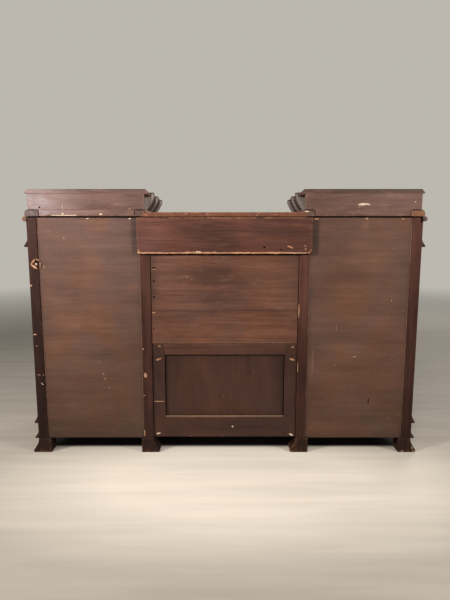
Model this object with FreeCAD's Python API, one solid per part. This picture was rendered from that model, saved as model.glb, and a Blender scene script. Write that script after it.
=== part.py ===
import FreeCAD, Part
import math
import os

V = FreeCAD.Vector

# Driving dimensions, in millimetres.
# The front faces -Y, the back faces +Y, +Z is up and X runs along the width.

# Carcase in plan
body_width = 1600.0
pedestal_width = 495.0
carcase_depth = 440.0
centre_setback = 40.0
post_width = 40.0
side_thickness = 22.0

# Heights, stacked from the floor
foot_height = 64.0
plinth_height = 99.0
door_opening_height = 717.0
frieze_rail_height = 28.0
drawer_opening_height = 76.0
top_rail_height = 19.5
top_thickness = 25.0
box_height = 63.5
lid_thickness = 18.0

# Pedestal boards
back_panel_thickness = 12.0
back_panel_inset = 5.0
back_panel_gap = 6.0
floor_thickness = 20.0
door_stop_height = 6.0
shelf_thickness = 18.0
shelf_top = 538.0
shelf_clearance = 0.5
bearer_size = 18.0
plinth_thickness = 22.0
rail_depth = 60.0

# Pedestal top board
top_overhang = 6.0
top_inner_inset = 2.0
top_edge_radius = 12.0
outer_end_strip = 58.0
inner_end_strip = 55.5

# Raised box on each pedestal
box_board_thickness = 18.0
box_back_thickness = 16.0
box_back_inner_margin = 19.0
box_back_outer_margin = 11.0
lid_outer_overhang = 3.0
lid_cant = 7.0
lid_undercut = 6.0
lid_lip = 4.0
lid_step = 10.0
lid_strip = 22.0

# Shaped corbels under the lid
corbel_reach = 38.0
corbel_width = 30.0
corbel_cap = 8.0
corbel_toe = 5.0
corbel_belly = 2.0
corbel_rise = 13.0
first_corbel = 130.0
side_corbels = 3
front_corbels = 4

# Drip mouldings: sloped above, flat below
drip_proud = 14.0
drip_lip = 6.0
drip_chamfer = 3.0
lower_drip_height = 27.0
upper_drip_height = 32.0
cornice_proud = 28.0
cornice_stop = 28.0
cornice_round = 5.0

# Flared feet
foot_flare = 24.0
foot_toe = 12.0
foot_depth = 62.0
foot_neck = 8.0
foot_lip = 12.0
foot_hollow = 5.0
foot_round = 2.0

# Centre section
centre_top_drop = 9.5
centre_top_thickness = 21.0
centre_top_overhang = 8.0
centre_top_radius = 9.0
centre_shelf_thickness = 24.0
back_rail_height = 144.5
back_rail_thickness = 10.0
back_rail_lap = 49.0
back_rail_corner = 20.0
back_board_thickness = 14.0
back_board_inset = 3.0
lower_back_board_height = 138.0

# Framed back of the lower centre
back_frame_height = 411.0
back_frame_lift = 4.0
back_frame_thickness = 20.0
back_frame_inset = 6.0
back_frame_stile = 52.0
back_frame_top_rail = 49.0
back_frame_bottom_rail = 92.0
back_sunk = 9.0
sunk_panel_thickness = 8.0
panel_groove = 6.0

# Screws that hold the framed back
screw_radius = 3.5
screw_length = 9.0
screw_pocket_radius = 4.2
screw_pocket_depth = 12.0
screw_edge = 16.0
screw_inset_top = 14.0
screw_pair_spacing = 46.0
screw_inset_bottom = 20.0

# Doors
door_thickness = 21.5
door_gap = 2.0
meeting_gap = 2.0
door_stile = 62.0
door_rail = 66.0
door_panel_thickness = 10.0
door_panel_sunk = 6.0
panel_field_margin = 26.0
panel_field_slope = 12.0
panel_field_rise = 3.0
bead_width = 9.0

# Butt hinges
hinge_gap = 3.0
hinge_height = 60.0
hinge_leaf = 1.2
hinge_leaf_width = 20.0
hinge_pin_radius = 1.75
hinge_pin_inset = 5.0
hinge_knuckle_radius = 4.4
hinge_running_clearance = 0.05
hinge_knuckle_gap = 0.3
hinge_leaf_setback = 0.6
pedestal_hinge_margin = 110.0
centre_hinge_margin = 52.0

# Locks and keyhole plates
lock_width = 38.0
lock_height = 56.0
lock_thickness = 11.0
lock_margin = 9.0
escutcheon_width = 15.0
escutcheon_height = 30.0
escutcheon_thickness = 1.5
keyhole_radius = 2.2
keyhole_slot = 9.0
keyhole_slot_width = 2.4
knob_over_lock = 62.0

# Drawers
drawer_gap = 1.5
drawer_running_clearance = 0.3
drawer_front_thickness = 20.0
drawer_side_thickness = 11.0
drawer_bottom_thickness = 8.0
drawer_bottom_lift = 6.0
drawer_side_drop = 8.0
drawer_back_space = 8.0
runner_thickness = 20.0
runner_bearing = 20.0
guide_height = 22.0

# Turned knobs
knob_proud = 32.0
knob_radius = 16.0
knob_neck_radius = 7.5
knob_base_radius = 12.0
knob_base = 5.0
knob_head = 17.0
knob_dome = 11.0
pedestal_knob_margin = 102.5
centre_knob_margin = 145.0

# Derived positions in plan
outer_x = body_width / 2
inner_x = outer_x - pedestal_width
rear_y = (carcase_depth + knob_proud - back_rail_thickness) / 2
front_y = rear_y - carcase_depth
centre_y = front_y + centre_setback
opening_x0 = inner_x + post_width
opening_x1 = outer_x - post_width
post_front_y = front_y + post_width
post_rear_y = rear_y - post_width
panel_y0 = rear_y - back_panel_inset - back_panel_thickness
panel_y1 = rear_y - back_panel_inset

# Derived heights
plinth_top = foot_height + plinth_height
frieze_z = plinth_top + door_opening_height
drawer_z = frieze_z + frieze_rail_height
top_rail_z = drawer_z + drawer_opening_height
carcase_top = top_rail_z + top_rail_height
box_z = carcase_top + top_thickness
lid_z = box_z + box_height
floor_top = plinth_top + door_stop_height
centre_top_z1 = box_z - centre_top_drop
centre_top_z0 = centre_top_z1 - centre_top_thickness
back_frame_z0 = foot_height + back_frame_lift
back_frame_z1 = back_frame_z0 + back_frame_height
centre_shelf_z0 = back_frame_z1 - centre_shelf_thickness
frame_y1 = rear_y - back_frame_inset
frame_y0 = frame_y1 - back_frame_thickness

# Raised box in plan: the tips of its lid and the faces of its walls
lid_inner_x = inner_x
lid_outer_x = outer_x + lid_outer_overhang
lid_front_y = front_y - lid_outer_overhang
wall_inner_x = lid_inner_x + corbel_reach
wall_outer_x = lid_outer_x - corbel_reach
wall_front_y = lid_front_y + corbel_reach
wall_rear_y = rear_y - box_back_thickness


def board(x0, x1, y0, y1, z0, z1):
    """A straight board between two corners."""
    return Part.makeBox(x1 - x0, y1 - y0, z1 - z0, V(x0, y0, z0))


def cylinder(radius, length, start, axis):
    """A round bar from start along axis."""
    return Part.makeCylinder(radius, length, start, axis)


def flat_face(points):
    """Flat face inside a closed polygon."""
    return Part.Face(Part.makePolygon(points + [points[0]]))


def ruled_solid(first, second):
    """Flat-sided solid between two outlines whose corners answer to each other."""
    sides = [flat_face([first[i - 1], first[i], second[i], second[i - 1]]) for i in range(len(first))]
    shell = Part.makeShell([flat_face(first[::-1]), flat_face(second)] + sides)
    solid = Part.makeSolid(shell)
    if solid.Volume < 0:
        solid.reverse()
    return solid


def rectangle_at(z, x0, x1, y0, y1):
    """Corners of a level rectangle."""
    return [V(x0, y0, z), V(x1, y0, z), V(x1, y1, z), V(x0, y1, z)]


def upright_rectangle(y, x0, x1, z0, z1):
    """Corners of a rectangle that stands facing the front."""
    return [V(x0, y, z0), V(x1, y, z0), V(x1, y, z1), V(x0, y, z1)]


def edges_on(shape, inside):
    """Edges whose two ends both satisfy inside(point)."""
    return [e for e in shape.Edges if all(inside(v.Point) for v in e.Vertexes)]


def near(a, b):
    """True where two lengths agree within modelling tolerance."""
    return abs(a - b) < 1e-6


def drip_profile(z0, z1, proud):
    """Moulding section as (projection, height): flat below, a small lip, sloped above."""
    return [(0, z0), (proud - drip_chamfer, z0), (proud, z0 + drip_chamfer),
            (proud, z0 + drip_lip), (0, z1)]


def nosing_profile(z0, z1, proud):
    """Moulding section with a full nose, its two corners taken off."""
    c = cornice_round
    return [(0, z0), (proud - c, z0), (proud, z0 + c), (proud, z1 - c), (proud - c, z1), (0, z1)]


def mitred_mouldings(path, profile):
    """Straight runs of a section along a right-angled path, mitred where they meet.

    The section projects to the left of the direction of travel.
    """
    normals = []
    for (ax, ay), (bx, by) in zip(path, path[1:]):
        length = abs(bx - ax) + abs(by - ay)
        normals.append((-(by - ay) / length, (bx - ax) / length))
    offsets = [normals[0]]
    for first, second in zip(normals, normals[1:]):
        offsets.append((first[0] + second[0], first[1] + second[1]))
    offsets.append(normals[-1])
    ends = []
    for (px, py), (ox, oy) in zip(path, offsets):
        ends.append([V(px + ox * p, py + oy * p, z) for p, z in profile])
    return [ruled_solid(a, b) for a, b in zip(ends, ends[1:])]


def to_left(solids):
    """The same solids on the other side of the middle."""
    return [solid.mirror(V(0, 0, 0), V(1, 0, 0)) for solid in solids]


def both_sides(solids):
    """Right-hand solids and their mirror images."""
    return solids + to_left(solids)


def posts(y0, y1):
    """Outer and inner corner posts of the right pedestal at one depth."""
    return [board(opening_x1, outer_x, y0, y1, foot_height, carcase_top),
            board(inner_x, opening_x0, y0, y1, foot_height, carcase_top)]


def side_boards():
    """Outer and inner sides, flush with the outsides of the posts."""
    return [board(outer_x - side_thickness, outer_x, post_front_y, post_rear_y, foot_height, carcase_top),
            board(inner_x, inner_x + side_thickness, post_front_y, post_rear_y, foot_height, carcase_top)]


def pedestal_floor():
    """Floor of a cupboard: a wide board with strips that fill the spaces between the posts."""
    z0 = floor_top - floor_thickness
    left = inner_x + side_thickness
    right = outer_x - side_thickness
    return [board(left, right, post_front_y, post_rear_y, z0, floor_top),
            board(opening_x0, opening_x1, front_y + plinth_thickness, post_front_y, z0, floor_top),
            board(opening_x0, opening_x1, post_rear_y, panel_y0, z0, floor_top)]


def pedestal_shelf():
    """Loose shelf between the sides."""
    return [board(inner_x + side_thickness + shelf_clearance, outer_x - side_thickness - shelf_clearance,
                  post_front_y + shelf_clearance, post_rear_y - shelf_clearance,
                  shelf_top - shelf_thickness, shelf_top)]


def shelf_bearers():
    """Strips on the sides that carry the shelf."""
    z1 = shelf_top - shelf_thickness
    left = inner_x + side_thickness
    right = outer_x - side_thickness
    return [board(left, left + bearer_size, post_front_y, post_rear_y, z1 - bearer_size, z1),
            board(right - bearer_size, right, post_front_y, post_rear_y, z1 - bearer_size, z1)]


def pedestal_top():
    """Top board with a rounded upper edge, cut back behind where the box back laps over it."""
    x0 = inner_x + top_inner_inset
    x1 = outer_x + top_overhang
    y0 = front_y - top_overhang
    solid = board(x0, x1, y0, rear_y, carcase_top, box_z)

    def on_rounded_edge(p):
        return near(p.z, box_z) and (near(p.x, x0) or near(p.x, x1))

    edges = edges_on(solid, on_rounded_edge)
    edges = [e for e in edges if not all(near(v.Point.y, rear_y) for v in e.Vertexes)]
    solid = solid.makeFillet(top_edge_radius, edges)
    notch = board(x0 + inner_end_strip, x1 - outer_end_strip, wall_rear_y, rear_y, carcase_top, box_z)
    return [solid.cut(notch)]


def box_back():
    """Back board of the raised box, with a tongue that laps down over the top board's edge."""
    upper = board(lid_inner_x + box_back_inner_margin, lid_outer_x - box_back_outer_margin,
                  wall_rear_y, rear_y, box_z, lid_z)
    tongue = board(inner_x + top_inner_inset + inner_end_strip, outer_x + top_overhang - outer_end_strip,
                   wall_rear_y, rear_y, carcase_top, box_z)
    return [upper.fuse(tongue).removeSplitter()]


def box_walls():
    """Two sides and a front of the raised box, set in behind the corbels."""
    t = box_board_thickness
    return [board(wall_inner_x, wall_inner_x + t, wall_front_y, wall_rear_y, box_z, lid_z),
            board(wall_outer_x - t, wall_outer_x, wall_front_y, wall_rear_y, box_z, lid_z),
            board(wall_inner_x + t, wall_outer_x - t, wall_front_y, wall_front_y + t, box_z, lid_z)]


def box_lid():
    """Lid with a beaked edge on three sides, and a wider strip of the same section along the back."""
    def strip(z, shrink):
        return rectangle_at(z, lid_inner_x + shrink, lid_outer_x - shrink, rear_y - lid_strip, rear_y)

    def field(z, shrink):
        inset = lid_step + shrink
        return rectangle_at(z, lid_inner_x + inset, lid_outer_x - inset,
                            lid_front_y + inset, rear_y - lid_strip)

    lip_z = lid_z + lid_lip
    slabs = []
    for outline in (strip, field):
        slabs.append(ruled_solid(outline(lid_z, lid_undercut), outline(lip_z, 0)))
        slabs.append(ruled_solid(outline(lip_z, 0), outline(lid_z + lid_thickness, lid_cant)))
    return [slabs[0].fuse(slabs[1:]).removeSplitter()]


def corbel(origin, outward, along):
    """One shaped bracket: its rounded underside slants from a narrow toe out to a square cap that hooks
    up against the lid's edge."""
    def at(projection, height):
        return origin + outward * projection + V(0, 0, height)

    top = box_height
    cap = top - corbel_cap
    chord = V(corbel_reach - corbel_toe, cap, 0)
    middle_p = (corbel_toe + corbel_reach) / 2 + corbel_belly * chord.y / chord.Length
    middle_z = cap / 2 - corbel_belly * chord.x / chord.Length
    hook = corbel_reach - lid_step
    corners = [at(0, 0), at(corbel_toe, 0), at(corbel_reach, cap), at(corbel_reach, top + corbel_rise),
               at(hook, top + corbel_rise), at(hook, top), at(0, top)]
    edges = [Part.makeLine(corners[0], corners[1]),
             Part.Arc(corners[1], at(middle_p, middle_z), corners[2]).toShape()]
    edges += [Part.makeLine(a, b) for a, b in zip(corners[2:], corners[3:] + corners[:1])]
    return Part.Face(Part.Wire(edges)).extrude(along * corbel_width)


def corbels():
    """Brackets under the lid along both sides and across the front of one box."""
    solids = []
    first_y = rear_y - first_corbel - corbel_width
    step = (first_y - wall_front_y) / (side_corbels - 1)
    for i in range(side_corbels):
        y = first_y - i * step
        solids.append(corbel(V(wall_inner_x, y, box_z), V(-1, 0, 0), V(0, 1, 0)))
        solids.append(corbel(V(wall_outer_x, y, box_z), V(1, 0, 0), V(0, 1, 0)))
    step = (wall_outer_x - wall_inner_x - corbel_width) / (front_corbels - 1)
    for i in range(front_corbels):
        start = V(wall_inner_x + i * step, wall_front_y, box_z)
        solids.append(corbel(start, V(0, -1, 0), V(1, 0, 0)))
    return solids


def outer_path(sign):
    """Plan corners of one pedestal from its outer rear corner to its inner front corner."""
    return [(sign * outer_x, rear_y), (sign * outer_x, front_y), (sign * inner_x, front_y)]


def drip_mouldings(z0, z1):
    """One moulding right round the sides and front, stepping back across the centre."""
    inner = [(inner_x, centre_y), (-inner_x, centre_y)]
    path = outer_path(1) + inner + outer_path(-1)[::-1]
    return mitred_mouldings(path, drip_profile(z0, z1, drip_proud))


def cornice_mouldings():
    """Nosing under the right pedestal's top board, stopped short of the back."""
    path = [(outer_x, rear_y - cornice_stop), (outer_x, front_y), (inner_x, front_y),
            (inner_x, centre_y - centre_top_overhang)]
    return mitred_mouldings(path, nosing_profile(top_rail_z, carcase_top, cornice_proud))


def foot_outline(at):
    """Face of a flared foot: a neck, a hollow, a rounded lip and a straight inner side.

    at(u, z) places a point u outward from the post's face at height z.
    """
    back = -(post_width + foot_toe)
    neck = at(0, foot_height - foot_neck)
    waist = at(foot_flare - foot_round, foot_lip)
    hollow = at(foot_flare / 2 - foot_hollow, (foot_height - foot_neck + foot_lip) / 2 - foot_hollow)
    heel = at(foot_flare - foot_round, 0)
    edges = [Part.makeLine(at(back, 0), at(back, foot_height)),
             Part.makeLine(at(back, foot_height), at(0, foot_height)),
             Part.makeLine(at(0, foot_height), neck),
             Part.Arc(neck, hollow, waist).toShape(),
             Part.Arc(waist, at(foot_flare, foot_lip / 2), heel).toShape(),
             Part.makeLine(heel, at(back, 0))]
    return Part.Face(Part.Wire(edges))


def foot(face_x, side, front):
    """Foot under one post; side is the way it flares along X, front feet flare forward as well."""
    y0 = front_y - foot_flare if front else rear_y - foot_depth
    y1 = post_front_y + foot_toe if front else rear_y
    solid = foot_outline(lambda u, z: V(face_x + side * u, y0, z)).extrude(V(0, y1 - y0, 0))
    if front:
        reach = post_width + foot_toe + foot_flare
        x0 = face_x + foot_flare if side > 0 else face_x - foot_flare
        profile = foot_outline(lambda u, z: V(x0, front_y - u, z))
        solid = solid.common(profile.extrude(V(-side * reach, 0, 0)))
    return solid


def feet():
    """Four feet of the right pedestal."""
    return [foot(x, side, front)
            for x, side in ((outer_x, 1), (inner_x, -1))
            for front in (False, True)]


def plinth_rails():
    """Plinth boards between the front posts and across the centre."""
    right = board(opening_x0, opening_x1, front_y, front_y + plinth_thickness, foot_height, plinth_top)
    centre = board(-inner_x, inner_x, centre_y, centre_y + plinth_thickness, foot_height, plinth_top)
    return both_sides([right]) + [centre]


def drawer_rails():
    """Rails under and over the three drawers."""
    right = [board(opening_x0, opening_x1, front_y, front_y + rail_depth, frieze_z, drawer_z),
             board(opening_x0, opening_x1, front_y, front_y + rail_depth, top_rail_z, carcase_top)]
    centre = [board(-inner_x, inner_x, centre_y, centre_y + rail_depth, frieze_z, drawer_z),
              board(-inner_x, inner_x, centre_y, centre_y + rail_depth, top_rail_z, centre_top_z0)]
    return both_sides(right) + centre


def drawer_runners():
    """Runners that carry the drawers, and the guides beside the pedestal drawers."""
    y0 = front_y + rail_depth
    z0 = drawer_z - runner_thickness
    left = inner_x + side_thickness
    right = outer_x - side_thickness
    pedestal = [board(left, opening_x0 + runner_bearing, y0, post_rear_y, z0, drawer_z),
                board(opening_x1 - runner_bearing, right, y0, post_rear_y, z0, drawer_z),
                board(left, opening_x0, y0, post_rear_y, drawer_z, drawer_z + guide_height),
                board(opening_x1, right, y0, post_rear_y, drawer_z, drawer_z + guide_height)]
    centre = board(inner_x - runner_bearing, inner_x, centre_y + rail_depth, post_rear_y, z0, drawer_z)
    return both_sides(pedestal + [centre])


def centre_top():
    """Lower top between the pedestals, with a rounded front edge."""
    y0 = centre_y - centre_top_overhang
    solid = board(-inner_x, inner_x, y0, rear_y, centre_top_z0, centre_top_z1)
    edges = edges_on(solid, lambda p: near(p.y, y0) and near(p.z, centre_top_z1))
    return [solid.makeFillet(centre_top_radius, edges)]


def centre_back_rail():
    """Board lapped over the inner rear posts, with one lower corner rounded off."""
    half = inner_x + back_rail_lap
    z0 = centre_top_z0 - back_rail_height
    solid = board(-half, half, rear_y, rear_y + back_rail_thickness, z0, centre_top_z0)
    edges = edges_on(solid, lambda p: near(p.x, -half) and near(p.z, z0))
    return [solid.makeFillet(back_rail_corner, edges)]


def centre_back_boards():
    """Two level boards that close the back of the niche and the drawer space."""
    y1 = rear_y - back_board_inset
    y0 = y1 - back_board_thickness
    joint = back_frame_z1 + lower_back_board_height
    return [board(-inner_x, inner_x, y0, y1, back_frame_z1, joint),
            board(-inner_x, inner_x, y0, y1, joint, centre_top_z0)]


def screw_places():
    """Places of the screws in the framed back's stiles, as (x, z)."""
    x = inner_x - screw_edge
    heights = [back_frame_z1 - screw_inset_top,
               back_frame_z1 - screw_inset_top - screw_pair_spacing,
               back_frame_z0 + screw_inset_bottom]
    return [(side * x, z) for side in (-1, 1) for z in heights]


def sunk_panel_space():
    """Depth range of the sunk panel in the framed back."""
    y1 = frame_y1 - back_sunk
    return y1 - sunk_panel_thickness, y1


def back_frame():
    """Stiles and rails, grooved for the sunk panel and pocketed for the screws."""
    x = inner_x - back_frame_stile
    lower = back_frame_z0 + back_frame_bottom_rail
    upper = back_frame_z1 - back_frame_top_rail
    bars = [board(-inner_x, -x, frame_y0, frame_y1, back_frame_z0, back_frame_z1),
            board(x, inner_x, frame_y0, frame_y1, back_frame_z0, back_frame_z1),
            board(-x, x, frame_y0, frame_y1, upper, back_frame_z1),
            board(-x, x, frame_y0, frame_y1, back_frame_z0, lower)]
    panel = back_frame_panel()[0]
    bars = [bar.cut(panel) for bar in bars]
    for px, pz in screw_places():
        pocket = cylinder(screw_pocket_radius, screw_pocket_depth, V(px, frame_y1, pz), V(0, -1, 0))
        bars[0 if px < 0 else 1] = bars[0 if px < 0 else 1].cut(pocket)
    return bars


def back_frame_panel():
    """Panel held in the grooves of the framed back."""
    y0, y1 = sunk_panel_space()
    x = inner_x - back_frame_stile + panel_groove
    return [board(-x, x, y0, y1, back_frame_z0 + back_frame_bottom_rail - panel_groove,
                  back_frame_z1 - back_frame_top_rail + panel_groove)]


def frame_screws():
    """Screws at the bottoms of their pockets."""
    y = frame_y1 - screw_pocket_depth
    return [cylinder(screw_radius, screw_length, V(x, y, z), V(0, 1, 0)) for x, z in screw_places()]


def centre_shelves():
    """Floor of the niche, which roofs the lower cupboard, and the niche's ceiling under the drawer."""
    ceiling_y0 = centre_y + rail_depth
    ceiling_y1 = rear_y - back_board_inset - back_board_thickness
    ceiling_top = drawer_z - runner_thickness
    return [board(-inner_x, inner_x, centre_y, frame_y0, centre_shelf_z0, back_frame_z1),
            board(-inner_x, inner_x, ceiling_y0, ceiling_y1, frieze_z, ceiling_top)]


def centre_floor():
    """Floor of the lower cupboard."""
    y0 = centre_y + plinth_thickness
    return [board(-inner_x, inner_x, y0, frame_y0, floor_top - floor_thickness, floor_top)]


def knob(x, y, z):
    """Turned knob that stands out from a face at y: base, neck and domed head."""
    neck_end = y - knob_proud + knob_head
    rim = y - knob_proud + knob_dome
    points = [V(x, y, z), V(x + knob_base_radius, y, z), V(x + knob_base_radius, y - knob_base / 2, z),
              V(x + knob_neck_radius, y - knob_base, z), V(x + knob_neck_radius, neck_end, z),
              V(x + knob_radius, rim, z)]
    crown = V(x, y - knob_proud, z)
    dome_radius = (knob_radius ** 2 + knob_dome ** 2) / (2 * knob_dome)
    half = math.atan2(knob_radius, dome_radius - knob_dome) / 2
    shoulder = V(x + dome_radius * math.sin(half), crown.y + dome_radius * (1 - math.cos(half)), z)
    edges = [Part.makeLine(a, b) for a, b in zip(points, points[1:])]
    edges.append(Part.Arc(points[-1], shoulder, crown).toShape())
    edges.append(Part.makeLine(crown, points[0]))
    return Part.Face(Part.Wire(edges)).revolve(V(x, y, z), V(0, 1, 0), 360)


def door_frame(x0, x1, y0, z0, z1):
    """Two stiles, two rails and a sloping bead mitred round the panel."""
    y1 = y0 + door_thickness
    left = x0 + door_stile
    right = x1 - door_stile
    lower = z0 + door_rail
    upper = z1 - door_rail
    bars = [board(x0, left, y0, y1, z0, z1), board(right, x1, y0, y1, z0, z1),
            board(left, right, y0, y1, z0, lower), board(left, right, y0, y1, upper, z1)]
    panel = board(left - panel_groove, right + panel_groove, y0 + door_panel_sunk,
                  y0 + door_panel_sunk + door_panel_thickness, lower - panel_groove, upper + panel_groove)
    bars = [bar.cut(panel) for bar in bars]
    section = [(0, 0), (bead_width, door_panel_sunk), (0, door_panel_sunk)]
    corners = [(left, lower, 1, 1), (right, lower, -1, 1), (right, upper, -1, -1), (left, upper, 1, -1)]
    ends = [[V(x + sx * p, y0 + d, z + sz * p) for p, d in section] for x, z, sx, sz in corners]
    beads = [ruled_solid(ends[i - 1], ends[i]) for i in range(len(ends))]
    return bars + beads


def door_panel(x0, x1, y0, z0, z1):
    """Panel with a raised field, its edges in the grooves of the frame."""
    face_y = y0 + door_panel_sunk
    left = x0 + door_stile
    right = x1 - door_stile
    lower = z0 + door_rail
    upper = z1 - door_rail
    plain = board(left - panel_groove, right + panel_groove, face_y, face_y + door_panel_thickness,
                  lower - panel_groove, upper + panel_groove)

    def outline(y, m):
        return upright_rectangle(y, left + m, right - m, lower + m, upper - m)

    field = ruled_solid(outline(face_y, panel_field_margin),
                        outline(face_y - panel_field_rise, panel_field_margin + panel_field_slope))
    return [plain.fuse(field).removeSplitter()]


def hinge(x_face, y_face, z):
    """Butt hinge on a post face at x_face: fixed leaf, pin and moving leaf."""
    door_edge = x_face - hinge_gap
    pin_x = x_face - hinge_pin_inset
    pin_y = y_face - hinge_pin_inset
    low = z - hinge_height / 2
    third = hinge_height / 3
    leaf_y = y_face + hinge_leaf_setback
    up = V(0, 0, 1)

    def leaf(x0, spans, bore):
        plate = board(x0, x0 + hinge_leaf, leaf_y, y_face + hinge_leaf_width, low, low + hinge_height)
        for z0, z1 in spans:
            plate = plate.fuse(cylinder(hinge_knuckle_radius, z1 - z0, V(pin_x, pin_y, z0), up))
            plate = plate.fuse(board(x0, x0 + hinge_leaf, pin_y, leaf_y, z0, z1))
        return plate.cut(cylinder(bore, hinge_height, V(pin_x, pin_y, low), up)).removeSplitter()

    half_gap = hinge_knuckle_gap / 2
    fixed = leaf(x_face - hinge_leaf, [(low, low + third - half_gap),
                                       (low + 2 * third + half_gap, low + hinge_height)], hinge_pin_radius)
    moving = leaf(door_edge, [(low + third + half_gap, low + 2 * third - half_gap)],
                  hinge_pin_radius + hinge_running_clearance)
    pin = cylinder(hinge_pin_radius, hinge_height, V(pin_x, pin_y, low), up)
    return fixed, pin, moving


def escutcheon(x, y, z):
    """Oval keyhole plate on a face at y."""
    r = escutcheon_width / 2
    rise = escutcheon_height / 2 - r
    outward = V(0, -1, 0)
    t = escutcheon_thickness
    plate = board(x - r, x + r, y - t, y, z - rise, z + rise)
    for dz in (-rise, rise):
        plate = plate.fuse(cylinder(r, t, V(x, y, z + dz), outward))
    hole = cylinder(keyhole_radius, t, V(x, y, z + keyhole_radius), outward)
    slot = board(x - keyhole_slot_width / 2, x + keyhole_slot_width / 2, y - t, y,
                 z + keyhole_radius - keyhole_slot, z + keyhole_radius)
    return plate.removeSplitter().cut(hole.fuse(slot))


def door_fittings(x0, x1, y0, z0, z1, hinge_margin):
    """Metalwork of a door hung at its right: fixed leaves and pins, then moving leaves, lock and
    keyhole plate, and the knob."""
    x_face = x1 + hinge_gap
    lock_z = (z0 + z1) / 2
    stile_x = x0 + door_stile / 2
    fixed = []
    moving = []
    for z in (z0 + hinge_margin, z1 - hinge_margin):
        leaf, pin, door_leaf = hinge(x_face, y0, z)
        fixed += [leaf, pin]
        moving.append(door_leaf)
    back_y = y0 + door_thickness
    moving.append(board(x0 + lock_margin, x0 + lock_margin + lock_width, back_y, back_y + lock_thickness,
                        lock_z - lock_height / 2, lock_z + lock_height / 2))
    moving.append(escutcheon(stile_x, y0, lock_z))
    return fixed, moving, [knob(stile_x, y0, lock_z + knob_over_lock)]


def drawer(x0, x1, y0, depth):
    """Drawer front, and the box behind it: two sides, a back and a bottom."""
    z0 = drawer_z + drawer_running_clearance
    z1 = top_rail_z - drawer_gap
    left = x0 + drawer_gap
    right = x1 - drawer_gap
    t = drawer_side_thickness
    side_y = y0 + drawer_front_thickness
    end_y = y0 + depth
    side_z1 = z1 - drawer_side_drop
    bottom_z = z0 + drawer_bottom_lift
    floor_z = bottom_z + drawer_bottom_thickness
    front = board(left, right, y0, side_y, z0 + drawer_gap, z1)
    box = [board(left, left + t, side_y, end_y, z0, side_z1),
           board(right - t, right, side_y, end_y, z0, side_z1),
           board(left + t, right - t, end_y - t, end_y, floor_z, side_z1),
           board(left + t, right - t, side_y, end_y, bottom_z, floor_z)]
    return [front], box


def export(node, solids):
    """Write one node's solids."""
    Part.makeCompound(solids).exportStep("parts/" + node + ".step")


def export_pair(name, solids):
    """Write a right-hand node and its mirror image on the left."""
    export("right_" + name, solids)
    export("left_" + name, to_left(solids))


def build_pedestals():
    """Fixed boards of both pedestals."""
    export_pair("rear_posts", posts(post_rear_y, rear_y))
    export_pair("front_posts", posts(front_y, post_front_y))
    export_pair("side_boards", side_boards())
    export_pair("back_panel", [board(opening_x0, opening_x1, panel_y0, panel_y1, foot_height,
                                     carcase_top - back_panel_gap)])
    export("pedestal_floors", both_sides(pedestal_floor()))
    export("pedestal_shelves", both_sides(pedestal_shelf()))
    export("shelf_bearers", both_sides(shelf_bearers()))
    export_pair("top_board", pedestal_top())
    export_pair("box_back", box_back())
    export("box_walls", both_sides(box_walls()))
    export_pair("box_lid", box_lid())
    export("corbels", both_sides(corbels()))
    export("cornice_mouldings", both_sides(cornice_mouldings()))
    export("frieze_moulding", drip_mouldings(frieze_z, drawer_z))
    export("plinth_mouldings", drip_mouldings(foot_height, foot_height + lower_drip_height)
           + drip_mouldings(plinth_top - upper_drip_height, plinth_top))
    export("feet", both_sides(feet()))
    export("plinth_rails", plinth_rails())
    export("drawer_rails", drawer_rails())
    export("drawer_runners", drawer_runners())


def build_centre():
    """Fixed boards of the centre section."""
    export("centre_top", centre_top())
    export("centre_back_rail", centre_back_rail())
    export("centre_back_boards", centre_back_boards())
    export("centre_back_frame", back_frame())
    export("centre_back_panel", back_frame_panel())
    export("back_frame_screws", frame_screws())
    export("centre_shelves", centre_shelves())
    export("centre_floor", centre_floor())


def build_doors():
    """Pedestal doors hung on the outer posts, and a pair hung on the pedestals' inner sides."""
    doors = {
        "pedestal": (opening_x0 + door_gap, opening_x1 - hinge_gap, front_y,
                     plinth_top + door_gap, frieze_z - door_gap, pedestal_hinge_margin),
        "centre": (meeting_gap / 2, inner_x - hinge_gap, centre_y,
                   plinth_top + door_gap, centre_shelf_z0 - door_gap, centre_hinge_margin),
    }
    fixed_leaves = []
    for place, (x0, x1, y0, z0, z1, margin) in doors.items():
        fixed, moving, knobs = door_fittings(x0, x1, y0, z0, z1, margin)
        fixed_leaves += fixed
        export_pair(place + "_door_frame", door_frame(x0, x1, y0, z0, z1))
        export_pair(place + "_door_panel", door_panel(x0, x1, y0, z0, z1))
        export_pair(place + "_door_brass", moving)
        export_pair(place + "_door_knob", knobs)
    export("hinge_leaves", both_sides(fixed_leaves))


def build_drawers():
    """Three frieze drawers with two knobs each."""
    knob_z = (drawer_z + top_rail_z) / 2
    depth = post_rear_y - drawer_back_space - front_y
    front, box = drawer(opening_x0, opening_x1, front_y, depth)
    export_pair("drawer_front", front)
    export_pair("drawer_box", box)
    places = [opening_x0 + pedestal_knob_margin, opening_x1 - pedestal_knob_margin]
    export_pair("drawer_knobs", [knob(x, front_y, knob_z) for x in places])
    front, box = drawer(-inner_x, inner_x, centre_y, depth - centre_setback)
    export("centre_drawer_front", front)
    export("centre_drawer_box", box)
    places = [centre_knob_margin - inner_x, inner_x - centre_knob_margin]
    export("centre_drawer_knobs", [knob(x, centre_y, knob_z) for x in places])


os.makedirs("parts", exist_ok=True)
build_pedestals()
build_centre()
build_doors()
build_drawers()
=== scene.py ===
import itertools
import math

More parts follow.
